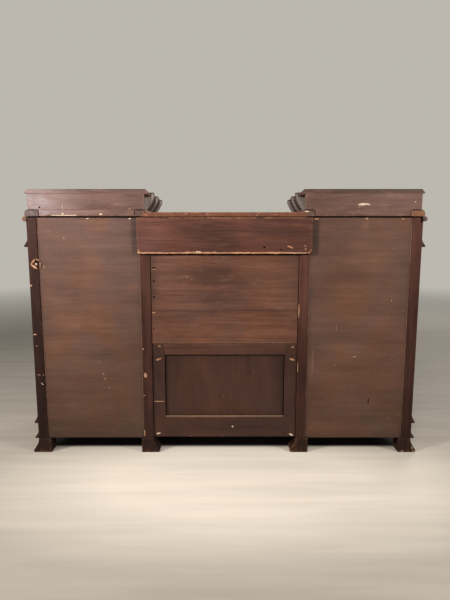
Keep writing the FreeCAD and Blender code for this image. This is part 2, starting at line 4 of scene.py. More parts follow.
import bpy
import numpy as np
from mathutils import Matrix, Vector


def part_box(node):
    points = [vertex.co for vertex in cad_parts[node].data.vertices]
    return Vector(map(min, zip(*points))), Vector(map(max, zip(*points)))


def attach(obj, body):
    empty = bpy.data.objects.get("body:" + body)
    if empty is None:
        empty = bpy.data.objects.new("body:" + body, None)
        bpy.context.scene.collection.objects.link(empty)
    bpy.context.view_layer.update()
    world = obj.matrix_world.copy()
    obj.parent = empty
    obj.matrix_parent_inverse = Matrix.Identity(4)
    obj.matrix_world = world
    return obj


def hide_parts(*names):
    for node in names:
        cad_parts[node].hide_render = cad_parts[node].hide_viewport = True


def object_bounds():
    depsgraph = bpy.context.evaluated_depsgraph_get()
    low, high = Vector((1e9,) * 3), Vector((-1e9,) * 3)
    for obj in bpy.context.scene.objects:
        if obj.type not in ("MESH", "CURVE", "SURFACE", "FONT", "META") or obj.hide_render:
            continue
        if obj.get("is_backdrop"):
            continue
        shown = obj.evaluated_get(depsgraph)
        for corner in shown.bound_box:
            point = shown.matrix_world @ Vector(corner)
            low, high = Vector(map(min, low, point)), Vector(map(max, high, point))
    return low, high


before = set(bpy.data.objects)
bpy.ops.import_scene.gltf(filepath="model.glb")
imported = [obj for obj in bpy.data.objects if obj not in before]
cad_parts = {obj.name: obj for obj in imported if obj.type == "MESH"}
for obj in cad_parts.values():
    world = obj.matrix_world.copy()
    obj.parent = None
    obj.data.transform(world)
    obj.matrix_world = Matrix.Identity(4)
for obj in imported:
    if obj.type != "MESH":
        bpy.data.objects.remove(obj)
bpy.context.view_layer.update()        # parts now in world coordinates

# Board sizes, in metres
POST = 0.040
SIDE = 0.022
TOP_OVERHANG_STRIP = 0.058
TOP_INNER_STRIP = 0.0555
TOP_ROUND = 0.012
BLOCK_EDGE_DARK = 0.22
BOX_BOARD = 0.018
LID_LIP = 0.004
LID_UNDERCUT = 0.006
LID_STEP = 0.010
LID_END_SLOPE = 0.006
LID_STRIP = 0.022
SEAM = 0.002
CORBEL_REACH = 0.038
CORBEL_WIDTH = 0.030
CORBEL_CAP = 0.008
CORBEL_TOE = 0.005
CORBEL_RISES = (0.0175, 0.0125, 0.0070)
FRONT_CORBEL_RISE = 0.013
# Painted light and shade on the brackets: the pale factors lighten rear faces, the shade factors darken the
# rest.
CORBEL_PALE = {"right": 1.5, "left": 1.0}
CORBEL_ROOT_PALE = {"right": 0.9, "left": 0.5}
CORBEL_HEAD = (0.024, 0.0055)
CORBEL_RIM = 0.007
INNER_SHADE = 0.30
CORBEL_SHADE = 0.7
NUB_SHADE = 0.2
FIRST_CORBEL = 0.130
DRIP_PROUD = 0.014
CORNICE_PROUD = 0.028
CORNICE_NOSE = 0.008
CORNICE_END = 0.0015
POST_SCARF = 0.004
SHADOW_STRIP = 0.006
SHADOW_STRIP_SUNK = 0.005
LOWER_DRIP = 0.027
UPPER_DRIP = 0.032
FOOT_FLARE = 0.024
FOOT_TOE = 0.012
FOOT_DEPTH = 0.062
FOOT_LIP = 0.012
FOOT_NECK = 0.056
FOOT_SUNK = 0.0004
PLINTH_BOARD = 0.022
RAIL_DEPTH = 0.060
CENTRE_TOP_ROUND = 0.009
LIPPING_REACH = 0.331
LIPPING_PROUD = 0.002
LIPPING_GAP = 0.0035
RAIL_CORNER = 0.020
RAIL_GAP = 0.006
RAIL_GAP_IN = 0.014
PANEL_LINE = 0.004
POST_LINE = (0.3025, 0.3049)
LOWER_BACK_BOARD = 0.138
FRAME_STILE = 0.052
FRAME_TOP_RAIL = 0.049
FRAME_BOTTOM_RAIL = 0.092
DOOR_STILE = 0.062
DOOR_RAIL = 0.066
DOOR_SUNK = 0.006
BEAD = 0.009
PANEL_GROOVE = 0.006
FIELD_MARGIN = 0.026
FIELD_SLOPE = 0.012
FIELD_RISE = 0.003
DRAWER_SIDE = 0.011
DRAWER_BOTTOM = 0.008
DRAWER_BOTTOM_LIFT = 0.006
CENTRE_SHELF = 0.024
TOP_INSET = 0.002
TOP_OVERHANG = 0.006
TOP_EASED = 0.0012
CENTRE_TOP_EASED = 0.001
EASED_RISE = 0.0015
BLOCK_EDGE_BAND = (0.0028, 0.0016)
BOX_ROUND = 0.0009
SEAM_SUNK = 0.0002
SEAM_ROUND = 0.0002
LID_ARRIS = 0.003
LID_ARRIS_END = (0.70, 0.2)
LID_ARRIS_SHADE = 0.7
DRIP_LIP = 0.006
DRIP_FLAT = 0.0035
DRIP_NOSE = (0.003, 0.0032)
DRIP_BREAK = (0.0002, 0.001)
CORNICE_END_PROUD = 0.0003
CORNICE_DARK = (0.65, 0.03)
CORBEL_SHORT = 0.0006
CORBEL_EASED = 0.0008
CORBEL_BREAK = 0.002
CORBEL_SWEEP = dict(spacing=0.008, start=0.0012)
HOOK_SHORT = 0.001
HOOK_ROUND = 0.0008
HEAD_ROUND = 0.0006
HEAD_PROUD = 0.0005
REAR_FADE = 0.001
RIM_PROUD = 0.0008
RIM_STEPS = (0.0004, 0.0001)
POST_SIDE_BLEND = (0.0012, 0.0006)
POST_REAR_BLEND = (0.002, 0.004)
SHADOW_STRIP_LAP = 0.001
SHADOW_STRIP_ROUND = 0.0008
LINE_ROUND = 0.0005
LINE_SUNK = 0.0005
LINE_LAP = 0.0004
PANEL_GAP_SUNK = 0.0015
PANEL_GAP_LAP = 0.0002
TOP_GAP_PROUD = 0.0008
RAIL_GAP_PROUD = 0.0006
PANEL_LINE_PROUD = 0.0012
POST_LINE_PROUD = 0.0009
POST_LINE_ROUND = 0.0004
CREASE = 35

# A turned knob's profile in millimetres: distance from the face, and radius there
KNOB_DEPTHS = [0, 0.5, 2.2, 3.4, 5, 8, 11, 14, 16.5, 19, 21, 23, 25.5, 28, 30, 31.4, 32]
KNOB_RADII = [12, 12.4, 12.2, 10.4, 8.4, 7.5, 7.5, 8.6, 12.2, 15, 16, 15.7, 14.2, 11.4, 8, 4, 0]
KNOB_SPOKES = 40

EDGE_ROUND = 0.0014
EDGE_REACH = 0.004
WORN_MARGINS = np.array([0.002, 0.005, 0.011])

SIDES = {"right": 1.0, "left": -1.0}
seeds = itertools.count(1)


def corners(node):
    """Lowest and highest corner of a node as arrays."""
    low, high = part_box(node)
    return np.array(low), np.array(high)


post_low, post_high = corners("right_rear_posts")
INNER_X, OUTER_X = post_low[0], post_high[0]
REAR_Y, FRONT_Y = post_high[1], corners("right_front_posts")[0][1]
FOOT_Z, CARCASE_Z = post_low[2], post_high[2]
CENTRE_Y = corners("centre_drawer_front")[0][1]
BOX_Z = corners("right_top_board")[1][2]
LID_Z = corners("right_box_lid")[0][2]
PLINTH_Z = corners("plinth_rails")[1][2]
FRIEZE_Z, DRAWER_Z = corners("frieze_moulding")[0][2], corners("frieze_moulding")[1][2]
TOP_RAIL_Z = corners("cornice_mouldings")[0][2]


# Surfaces

def ripple(points, wavelength, seed):
    """Smooth noise of about -1 to 1: sines summed that run in random directions, their wavelengths
    scattered round the one given."""
    rng = np.random.default_rng(seed)
    waves = rng.normal(size=(7, points.shape[1]))
    turns = 2 * np.pi / wavelength * rng.uniform(0.6, 1.7, 7)
    waves *= (turns / np.linalg.norm(waves, axis=1))[:, None]
    return np.sin(points @ waves.T + rng.uniform(0, 2 * np.pi, 7)).sum(1) / 3.2


def grain_of(points, along, seed):
    """Coordinates along and across the fibres; each board is cut from its own place in the tree."""
    order = [along, (along + 1) % 3, (along + 2) % 3]
    return points[:, order] + np.random.default_rng(seed).uniform(-6, 6, 3)


def tone_of(points, along, seed, mottle=0.08, spots=()):
    """Brightness: a slow noise in the stain, drawn out along the fibres, times soft oval spots, some of
    which are painted light and shade; a spot is (x, z, half width, half height, strength), and a sixth
    value, the power of its falloff, squares it."""
    drawn = points * np.where(np.arange(3) == along, 0.3, 1.0)
    tone = 1 + mottle * ripple(drawn, 0.12, seed + 900)
    for x, z, half_x, half_z, strength, *power in spots:
        offsets = np.stack([(points[:, 0] - x) / half_x, (points[:, 2] - z) / half_z])
        away = np.abs(offsets) ** (power or [2])[0]
        tone *= 1 + strength * np.exp(-away.sum(0))
    return tone


def grid_quads(rows, cols, closed=False):
    """Quads between neighbours on a rows by cols grid; closed joins the last column to the first."""
    r, c = np.meshgrid(np.arange(rows - 1), np.arange(cols if closed else cols - 1), indexing="ij")
    n = (c + 1) % cols
    return np.stack([r * cols + c, r * cols + n, (r + 1) * cols + n, (r + 1) * cols + c], -1).reshape(-1, 4)


def weld(points, quads, *fields):
    """One vertex wherever the borders of the grids meet."""
    _, first, inverse = np.unique(np.round(points, 6), axis=0, return_index=True, return_inverse=True)
    return (points[first], inverse.reshape(-1)[quads]) + tuple(f[first] for f in fields)


def outward(points, quads):
    """Quads turned so that a closed surface holds a positive volume."""
    p = points[quads]
    first = np.einsum("ij,ij->i", p[:, 0], np.cross(p[:, 1], p[:, 2]))
    second = np.einsum("ij,ij->i", p[:, 0], np.cross(p[:, 2], p[:, 3]))
    return quads if (first + second).sum() > 0 else quads[:, ::-1]


def stations(low, high, radius, spacing):
    """Grid lines along one side of a board: close on the rounded edges, where equal angles leave
    radius (1 - tan angle) from the end, and on the worn margins; evenly spaced between."""
    near = radius * (1 - np.tan(np.radians([45.0, 30.0, 15.0, 0.0])))
    near = np.concatenate([near, radius + WORN_MARGINS])
    length = high - low
    near = near[near < 0.45 * length]
    count = max(2, math.ceil((length - 2 * near[-1]) / spacing) + 1)
    middle = np.linspace(near[-1], length - near[-1], count)
    return low + np.concatenate([near[:-1], middle, length - near[-2::-1]])


def rounded_board(low, high, along, radius=EDGE_ROUND, spacing=0.02, wear=0.0004, reach=EDGE_REACH,
                  warp=0.0, worn_faces=None, mottle=0.08, spots=(), rim=0.0, rim_reach=0.012):
    """Six grids of a box pulled onto rounded edges: each point goes to the nearest point of the box
    shrunk by the radius, and out again by the radius. Noise sinks the edges where hands and floors
    have worn them, and a slow ripple lifts the faces by the warp. worn_faces gives shares of wear to
    the edges of the lowest and highest face along each axis; rim is painted shade that darkens the
    faces along them."""
    low, high = np.array(low, float), np.array(high, float)
    lines = [stations(low[a], high[a], radius, spacing) for a in range(3)]
    points, quads, start = [], [], 0
    for a in range(3):
        b, c = (a + 1) % 3, (a + 2) % 3
        grid_b, grid_c = np.meshgrid(lines[b], lines[c], indexing="ij")
        for end in (low[a], high[a]):
            face = np.empty(grid_b.shape + (3,))
            face[..., a], face[..., b], face[..., c] = end, grid_b, grid_c
            q = grid_quads(*grid_b.shape) + start
            quads.append(q if end == low[a] else q[:, ::-1])
            points.append(face.reshape(-1, 3))
            start += grid_b.size
    points, quads = weld(np.concatenate(points), np.concatenate(quads))
    seed = next(seeds)
    margin = np.sort(np.minimum(points - low, high - points), axis=1)[:, 1]
    edge = np.exp(-margin / reach)
    if worn_faces is not None:
        near = np.exp(-np.stack([points - low, high - points], -1) / 0.012)
        edge = edge * (near * np.array(worn_faces, float)).max((1, 2))
    inner = np.clip(points, low + radius, high - radius)
    out = points - inner
    out /= np.linalg.norm(out, axis=1)[:, None]
    worn = 0.3 + 2 * np.clip(ripple(points, 0.06, seed), 0, 1) ** 2
    lift = radius - wear * edge * worn + warp * (1 - edge) * ripple(points, 0.35, seed + 500)
    tone = tone_of(points, along, seed, mottle, spots) * (1 - rim * np.exp(-margin / rim_reach))
    return inner + out * lift[:, None], quads, edge, grain_of(points, along, seed), tone


def stacked(steps, along, worn, order=(0, 1, 2), corner=0.002, spacing=0.03):
    """Rectangles with rounded corners stacked along the third axis of order, closed at each end by a
    flat grid. A row of steps is (a0, a1, b0, b1, height); worn gives each row's share of edge wear."""
    steps, worn = np.asarray(steps, float), np.asarray(worn, float)
    reach_a = steps[:, 1].max() - steps[:, 0].min()
    reach_b = steps[:, 3].max() - steps[:, 2].min()
    a_lines = stations(0, reach_a, corner, spacing) / reach_a
    b_lines = stations(0, reach_b, corner, spacing) / reach_b
    grid = np.stack(np.meshgrid(a_lines, b_lines, indexing="ij"), -1)
    na, nb = len(a_lines), len(b_lines)
    grid = grid.reshape(-1, 2)
    ring = np.concatenate([np.arange(na) * nb, (na - 1) * nb + np.arange(1, nb),
                           np.arange(na - 2, -1, -1) * nb + nb - 1, np.arange(nb - 2, 0, -1)])

    def place(share, step):
        low, high = step[[0, 2]], step[[1, 3]]
        p = low + (high - low) * share
        gaps = np.minimum(p - low, high - p)
        inner = np.clip(p, low + corner, high - corner)
        away = p - inner
        length = np.maximum(np.linalg.norm(away, axis=1), corner)
        p = inner + away * (corner / length)[:, None]
        return np.column_stack([p, np.full(len(p), step[4])]), gaps

    points, quads, edges = [], [], []
    for step, wear in zip(steps, worn):
        p, gaps = place(grid[ring], step)
        points.append(p)
        edges.append(np.maximum(wear, 0.8 * np.exp(-gaps.max(1) / EDGE_REACH)))
    quads.append(grid_quads(len(steps), len(ring), closed=True))
    start = len(steps) * len(ring)
    for step, wear in ((steps[0], worn[0]), (steps[-1], worn[-1])):
        p, gaps = place(grid, step)
        q = grid_quads(na, nb) + start
        quads.append(q if step is steps[0] else q[:, ::-1])
        points.append(p)
        edges.append(wear * np.exp(-gaps.min(1) / EDGE_REACH))
        start += len(p)
    points, quads, edges = weld(np.concatenate(points), np.concatenate(quads), np.concatenate(edges))
    turned = np.empty_like(points)
    turned[:, list(order)] = points
    seed = next(seeds)
    return turned, outward(turned, quads), edges, grain_of(turned, along, seed), tone_of(turned, along, seed)


def swept(path, section, worn, order=(0, 1, 2), closed=False, spacing=0.03, start=0.0025):
    """A section (projection, height) carried along a path with square corners and mitred there: each
    run is ruled between the section set out along the two corners' bisectors. The section is listed
    up its outer side; its back is a straight line from the last point to the first."""
    path, section = np.asarray(path, float), np.asarray(section, float)
    runs = np.diff(np.vstack([path, path[:1]]) if closed else path, axis=0)
    runs /= np.linalg.norm(runs, axis=1)[:, None]
    normals = np.column_stack([-runs[:, 1], runs[:, 0]])
    if closed:
        offsets = normals + np.roll(normals, 1, axis=0)
    else:
        offsets = np.vstack([normals[:1], normals[:-1] + normals[1:], normals[-1:]])
    n = len(section)
    share = np.linspace(0, 1, n)[:, None]
    rise = share * (section[-1:] - section[:1]) * [0, 1]
    back = section[:1] * [0, 1] + rise + section[0, 0] * np.array([1, 0])
    loop = np.vstack([section, back[::-1]])
    wear = np.concatenate([worn, np.zeros(n)])
    ends = path[:, None, :] + offsets[:, None, :] * loop[None, :, :1]
    ends = np.concatenate([ends, np.broadcast_to(loop[None, :, 1:], ends.shape[:2] + (1,))], axis=2)
    if closed:
        ends = np.concatenate([ends, ends[:1]])
    rows = []
    for a, b in zip(ends, ends[1:]):
        length = np.linalg.norm(b[0] - a[0])
        t = np.concatenate([[0], np.linspace(start / length, 1 - start / length,
                                             max(2, int(length / spacing))), [1]])[:, None, None]
        rows.append((a * (1 - t) + b * t)[(1 if rows else 0):])
    rows = np.concatenate(rows)
    points = rows.reshape(-1, 3)
    quads = [grid_quads(len(rows), 2 * n, closed=True)]
    if not closed:
        i = np.arange(n - 1)
        cap = np.column_stack([i, i + 1, 2 * n - 2 - i, 2 * n - 1 - i])
        quads += [cap[:, ::-1], cap + (len(rows) - 1) * 2 * n]
    points, quads, wear = weld(points, np.concatenate(quads), np.tile(wear, len(rows)))
    turned = np.empty_like(points)
    turned[:, list(order)] = points
    seed = next(seeds)
    return (turned, outward(turned, quads), wear * (0.75 + 0.25 * ripple(turned, 0.09, seed)),
            grain_of(turned, order[0], seed), tone_of(turned, order[0], seed))


def turned_knob(x, y, z):
    """A profile of radius against distance from the face, spun about Y: base, hollow neck, domed head."""
    depth, radius = np.insert(np.array([KNOB_DEPTHS, KNOB_RADII]) * 0.001, 0, 0.0, axis=1)
    angle = np.linspace(0, 2 * np.pi, KNOB_SPOKES, endpoint=False)
    points = np.stack([x + radius[:, None] * np.cos(angle), y - np.repeat(depth[:, None], KNOB_SPOKES, 1),
                       z + radius[:, None] * np.sin(angle)], -1).reshape(-1, 3)
    edge = np.interp(depth, [0, 0.019, 0.021, 0.025, 0.032], [0.2, 0.3, 0.8, 0.2, 0.1])
    points, quads, edge = weld(points, grid_quads(len(depth), KNOB_SPOKES, closed=True),
                               np.repeat(edge, KNOB_SPOKES))
    seed = next(seeds)
    return points, outward(points, quads), edge, grain_of(points, 1, seed), tone_of(points, 1, seed)


def knock(x, z, length, width, tilt, face_y, blunt=2.0, rise=0.0011):
    """A place where a face is knocked: a lens in section, its width falling off to both ends as
    (1 - |t|^blunt)^(1/2), with t the share of its half length, ragged by noise and closed behind the face."""
    seed = next(seeds)
    stops = max(9, math.ceil(length / 0.004))
    t = np.sin(np.pi / 2 * np.linspace(-1, 1, stops))
    fall = np.sqrt(np.clip(1 - np.abs(t) ** blunt, 0, 1))
    fall[[0, -1]] = 0.0
    run = np.array([math.cos(math.radians(tilt)), math.sin(math.radians(tilt))])
    middle = np.array([x, z]) + t[:, None] * length / 2 * run
    share = np.array([-1.0, -0.6, 0.0, 0.6, 1.0, 0.0])
    lift = np.array([-0.6, 0.5, 1.0, 0.5, -0.6, -1.0]) * rise
    ragged = 1 + 0.35 * np.stack([ripple(middle, 0.009, seed), ripple(middle, 0.013, seed)], 1)
    across = fall[:, None] * share * width / 2 * np.where(share < 0, ragged[:, :1], ragged[:, 1:])
    points = np.stack([middle[:, :1] - across * run[1], face_y + fall[:, None] * lift,
                       middle[:, 1:] + across * run[0]], -1).reshape(-1, 3)
    points, quads = weld(points, grid_quads(stops, len(share), closed=True))
    tone = 1 + 0.25 * ripple(points, 0.007, seed)
    return points, outward(points, quads), np.zeros(len(points)), grain_of(points, 0, seed), tone


def toned(shape, factor):
    """A surface lighter or darker by a factor: its stain, and in some places painted light and shade."""
    return shape[:4] + (shape[4] * factor,)


def shaded_to_back(shape, share=0.65, depth=0.015):
    """A surface whose colour darkens and whose bare edges fade towards the back plane: painted shade at its
    rear end.
    """
    points, quads, edge, grain, tone = shape
    clean = 1 - share * np.exp(-(REAR_Y - points[:, 1]).clip(0) / depth)
    return points, quads, edge * clean, grain, tone * clean


def joined(shapes):
    """Several surfaces as one."""
    counts = np.cumsum([0] + [len(s[0]) for s in shapes[:-1]])
    return (np.concatenate([s[0] for s in shapes]),
            np.concatenate([s[1] + c for s, c in zip(shapes, counts)]),
            *(np.concatenate([s[i] for s in shapes]) for i in (2, 3, 4)))


def add_piece(name, shapes, material, body, nodes=(), crease=None):
    """A mesh object of several surfaces, with its wear, tone and grain as attributes. Quads that meet a
    pole become triangles; edges bent by more than the crease angle stay sharp."""
    points, quads, edge, grain, tone = joined(shapes)
    same = quads == np.roll(quads, -1, axis=1)
    sizes = 4 - same.sum(1)
    loops = quads[~same]
    mesh = bpy.data.meshes.new(name)
    mesh.vertices.add(len(points))
    mesh.vertices.foreach_set("co", points.astype(np.float32).ravel())
    mesh.loops.add(len(loops))
    mesh.loops.foreach_set("vertex_index", loops.astype(np.int32))
    mesh.polygons.add(len(sizes))
    mesh.polygons.foreach_set("loop_start", np.concatenate([[0], np.cumsum(sizes)[:-1]]).astype(np.int32))
    mesh.polygons.foreach_set("use_smooth", np.ones(len(sizes), bool))
    for field, values in (("edge", edge), ("tone", tone)):
        mesh.attributes.new(field, "FLOAT", "POINT").data.foreach_set("value", values.astype(np.float32))
    mesh.attributes.new("grain", "FLOAT_VECTOR", "POINT").data.foreach_set(
        "vector", grain.astype(np.float32).ravel())
    mesh.update(calc_edges=True)
    mesh.validate()
    if crease is not None:
        mesh.set_sharp_from_angle(angle=math.radians(crease))
    piece = bpy.data.objects.new(name, mesh)
    bpy.context.scene.collection.objects.link(piece)
    mesh.materials.append(material)
    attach(piece, body)
    if nodes:
        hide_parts(*nodes)
    return piece


# Materials

def feed(tree, socket, value):
    """A socket linked from another node's, or set to a value."""
    if isinstance(value, bpy.types.NodeSocket):
        tree.links.new(value, socket)
    else:
        socket.default_value = value


def put(tree, kind, settings=(), **inputs):
    """A node with its settings; inputs are set from values or linked from other nodes' sockets."""
    made = tree.nodes.new("ShaderNode" + kind)
    for name, value in dict(settings).items():
        setattr(made, name, value)
    for name, value in inputs.items():
        feed(tree, made.inputs[name.replace("_", " ")], value)
    return made.outputs


def maths(tree, operation, a, b, clamp=False):
    """One sum of two numbers or sockets."""
    made = tree.nodes.new("ShaderNodeMath")
    made.operation = operation
    made.use_clamp = clamp
    for socket, value in zip(made.inputs, (a, b)):
        feed(tree, socket, value)
    return made.outputs[0]


def mixed(tree, share, a, b, mode="MIX"):
    """Colour b laid over colour a by a share."""
    made = tree.nodes.new("ShaderNodeMix")
    made.data_type = "RGBA"
    made.blend_type = mode
    for index, value in ((0, share), (6, a), (7, b)):
        feed(tree, made.inputs[index], (*value, 1) if isinstance(value, tuple) else value)
    return made.outputs[2]


def shader_mix(tree, share, first, second):
    """Two shaders mixed by a share."""
    made = tree.nodes.new("ShaderNodeMixShader")
    for socket, value in zip(made.inputs, (share, first, second)):
        feed(tree, socket, value)
    return made.outputs[0]


def ramp(tree, value, stops):
    """Colours along a value; a stop is (place, colour or grey)."""
    made = tree.nodes.new("ShaderNodeValToRGB")
    tree.links.new(value, made.inputs[0])
    elements = made.color_ramp.elements
    while len(elements) < len(stops):
        elements.new(0.5)
    for element, (place, colour) in zip(elements, stops):
        element.position = place
        element.color = (*colour, 1) if isinstance(colour, tuple) else (colour, colour, colour, 1)
    return made.outputs[0]


def stretch(tree, value, low, high, out_low, out_high):
    """A value's range mapped onto another."""
    return put(tree, "MapRange", Value=value, From_Min=low, From_Max=high, To_Min=out_low, To_Max=out_high)[0]


def cloud(tree, vector, scale, detail=4.0, rough=0.55, distortion=0.0):
    """Noise at a scale along each axis, in features per metre."""
    scaled = put(tree, "Mapping", Vector=vector, Scale=scale if isinstance(scale, tuple) else (scale,) * 3)[0]
    return put(tree, "TexNoise", Vector=scaled, Scale=1.0, Detail=detail, Roughness=rough,
               Distortion=distortion)[0]


def new_tree(name):
    """An empty node material."""
    material = bpy.data.materials.new(name)
    material.use_nodes = True
    material.node_tree.nodes.clear()
    return material, material.node_tree


def finish_material(tree, colour, roughness, height, bump, distance, **fixed):
    """The surface shader, its bump from a height."""
    normal = put(tree, "Bump", Strength=bump, Distance=distance, Height=height)[0]
    surface = put(tree, "BsdfPrincipled", Base_Color=colour, Roughness=roughness, Normal=normal, **fixed)[0]
    put(tree, "OutputMaterial", Surface=surface)


def mahogany(name, dark, mid, light, worn, rough, wear=0.5, even=0.15, dust=0.0, foot_shade=1.0, figure=0.35,
             coat=0.0, specular=0.4, warm=0.0, scuff=0.0, flecked=0.45, blotchy=1.0, rear_dust_and_sheen=None,
             foot_tint=(1.0, 1.0, 1.0), head_tint=(1.0, 1.0, 1.0)):
    """Mahogany that follows each board's own grain: slow stripes and fine pores along the fibres, old
    stain in blotches that turn orange in places, short pale scuffs, bare orange wood where the edges are
    worn, dust on ledges, dust and a painted sheen on rear faces, painted shade that darkens and tints it
    towards the floor, and a painted sheen that tints its head."""
    material, tree = new_tree(name)
    fibre = put(tree, "Attribute", {"attribute_name": "grain"})["Vector"]
    edge = put(tree, "Attribute", {"attribute_name": "edge"})["Fac"]
    tone = put(tree, "Attribute", {"attribute_name": "tone"})["Fac"]
    place = put(tree, "TexCoord")["Object"]
    stripe = cloud(tree, fibre, (2.2, 46, 46), 7.0, 0.66, figure)
    fleck = cloud(tree, fibre, (14, 300, 300), 3.0, 0.6)
    pore = cloud(tree, fibre, (30, 1100, 1100), 2.0, 0.5)
    blotch = cloud(tree, fibre, (6.0, 15.0, 15.0), 5.0, 0.62, 0.5)
    grime = cloud(tree, place, (3.4, 3.4, 2.2), 4.0, 0.55)
    rub = cloud(tree, place, 75.0, 4.0, 0.65)
    patch = cloud(tree, place, 9.0, 3.0, 0.6)
    colour = ramp(tree, stripe, [(0.30, dark), (0.50, mid), (0.72, light)])
    # Grey on faces turned to the back: dust, and a painted sheen of the pale room.
    if rear_dust_and_sheen:
        facing = put(tree, "SeparateXYZ", Vector=put(tree, "NewGeometry")["Normal"])[1]
        colour = mixed(tree, stretch(tree, facing, 0.7, 0.95, 0.0, 1.0), colour, rear_dust_and_sheen)
    colour = mixed(tree, flecked, colour, ramp(tree, fleck, [(0.30, 0.5), (0.66, 1.08)]), "MULTIPLY")
    colour = mixed(tree, 0.35, colour, ramp(tree, pore, [(0.36, 0.35), (0.46, 1.0)]), "MULTIPLY")
    colour = mixed(tree, blotchy, colour, ramp(tree, blotch, [(0.28, 0.82), (0.72, 1.18)]), "MULTIPLY")
    colour = mixed(tree, 1.0, colour, ramp(tree, grime, [(0.35, 0.88), (0.65, 1.10)]), "MULTIPLY")
    colour = mixed(tree, 1.0, colour, tone, "MULTIPLY")
    if warm:
        hue = cloud(tree, place, (4.0, 4.0, 3.6), 3.0, 0.55, 0.8)
        colour = mixed(tree, stretch(tree, hue, 0.40, 0.66, 0.0, warm), colour,
                       mixed(tree, 1.0, colour, (1.22, 1.0, 0.70), "MULTIPLY"))
    if scuff:
        rubbed = cloud(tree, fibre, (9.0, 70.0, 70.0), 4.0, 0.6, 0.2)
        colour = mixed(tree, stretch(tree, rubbed, 0.58, 0.72, 0.0, scuff), colour, (0.36, 0.20, 0.15))
    # Painted shade: darker and tinted towards the floor, and a painted sheen tinting the head.
    if foot_shade < 1.0:
        up = put(tree, "SeparateXYZ", Vector=place)[2]
        foot = tuple(foot_shade * c for c in foot_tint)
        shades = [(0.0, foot), (0.55, 0.5 + 0.5 * foot_shade), (1.0, head_tint)]
        raised = stretch(tree, up, 0.05, 0.95, 0.0, 1.0)
        colour = mixed(tree, 1.0, colour, ramp(tree, raised, shades), "MULTIPLY")
    bare = maths(tree, "MULTIPLY", edge, stretch(tree, rub, 0.40, 0.60, 0.0, 1.0))
    bare = maths(tree, "MULTIPLY", bare, stretch(tree, patch, 0.44, 0.58, wear * even, wear), True)
    colour = mixed(tree, bare, colour, worn)
    if dust:
        facing = put(tree, "SeparateXYZ", Vector=put(tree, "NewGeometry")["Normal"])[2]
        lying = maths(tree, "MULTIPLY", stretch(tree, facing, 0.55, 0.9, 0.0, dust),
                      stretch(tree, rub, 0.30, 0.60, 0.4, 1.0))
        colour = mixed(tree, lying, colour, (0.42, 0.25, 0.15))
    gloss = maths(tree, "ADD", stretch(tree, blotch, 0.3, 0.7, rough - 0.08, rough + 0.10),
                  maths(tree, "MULTIPLY", bare, 0.25), True)
    height = maths(tree, "ADD", maths(tree, "MULTIPLY", pore, 0.5), maths(tree, "MULTIPLY", fleck, 0.6))
    height = maths(tree, "ADD", height, maths(tree, "MULTIPLY", rub, maths(tree, "MULTIPLY", edge, 0.8)))
    finish_material(tree, colour, gloss, height, 0.35, 0.0006, Coat_Weight=coat, Coat_Roughness=0.22,
                    Specular_IOR_Level=specular)
    return material


def lining(name, dark, light, along):
    """Plain deal for hidden boards, its grain on object coordinates along one axis."""
    material, tree = new_tree(name)
    place = put(tree, "TexCoord")["Object"]
    slow, fast = [30.0] * 3, [420.0] * 3
    slow[along], fast[along] = 1.5, 16.0
    stripe = cloud(tree, place, tuple(slow), 5.0, 0.6, 0.4)
    pore = cloud(tree, place, tuple(fast), 3.0, 0.6)
    blotch = cloud(tree, place, 6.0, 4.0, 0.6)
    colour = ramp(tree, stripe, [(0.32, dark), (0.70, light)])
    colour = mixed(tree, 0.5, colour, ramp(tree, pore, [(0.35, 0.5), (0.6, 1.0)]), "MULTIPLY")
    colour = mixed(tree, 1.0, colour, ramp(tree, blotch, [(0.3, 0.75), (0.7, 1.15)]), "MULTIPLY")
    finish_material(tree, colour, stretch(tree, blotch, 0.3, 0.7, 0.6, 0.8), pore, 0.3, 0.0005,
                    Specular_IOR_Level=0.3)
    return material


def metal(name, dark, light, rough, metallic, scale):
    """Old metal: bright where rubbed, dark and dull where tarnish has gathered."""
    material, tree = new_tree(name)
    place = put(tree, "TexCoord")["Object"]
    tarnish = cloud(tree, place, scale, 6.0, 0.65, 0.4)
    grain = cloud(tree, place, scale * 9, 3.0, 0.6)
    colour = ramp(tree, tarnish, [(0.36, dark), (0.64, light)])
    gloss = stretch(tree, tarnish, 0.35, 0.65, rough + 0.22, rough)
    finish_material(tree, colour, gloss, grain, 0.25, 0.0002, Metallic=metallic)
    return material


ORANGE_WEAR = (0.46, 0.19, 0.075)
POLISH_WEAR = (0.30, 0.11, 0.045)
POLISH = ((0.055, 0.014, 0.007), (0.125, 0.036, 0.016), (0.22, 0.075, 0.032), POLISH_WEAR)


def back_wood(name, dark, mid, light, rough, **finish):
    """Mahogany that is orange where it is worn."""
    return mahogany(name, dark, mid, light, ORANGE_WEAR, rough, **finish)


POLISHED = mahogany("polished_mahogany", *POLISH, 0.50, wear=0.45, specular=0.3, figure=0.8)
FIGURED = mahogany("figured_mahogany", (0.06, 0.014, 0.007), (0.15, 0.044, 0.018), (0.28, 0.10, 0.042),
                   POLISH_WEAR, 0.40, wear=0.4, coat=0.1, figure=2.6)
CARVED = mahogany("carved_mahogany", *POLISH, 0.5, wear=0.1, figure=0.5, flecked=0.2,
                  rear_dust_and_sheen=(0.27, 0.235, 0.205))
BACK_POST = back_wood("back_post_wood", (0.044, 0.016, 0.011), (0.072, 0.028, 0.020), (0.104, 0.043, 0.031),
                      0.55, wear=0.55, foot_shade=0.34, specular=0.14, warm=0.3, flecked=0.3)
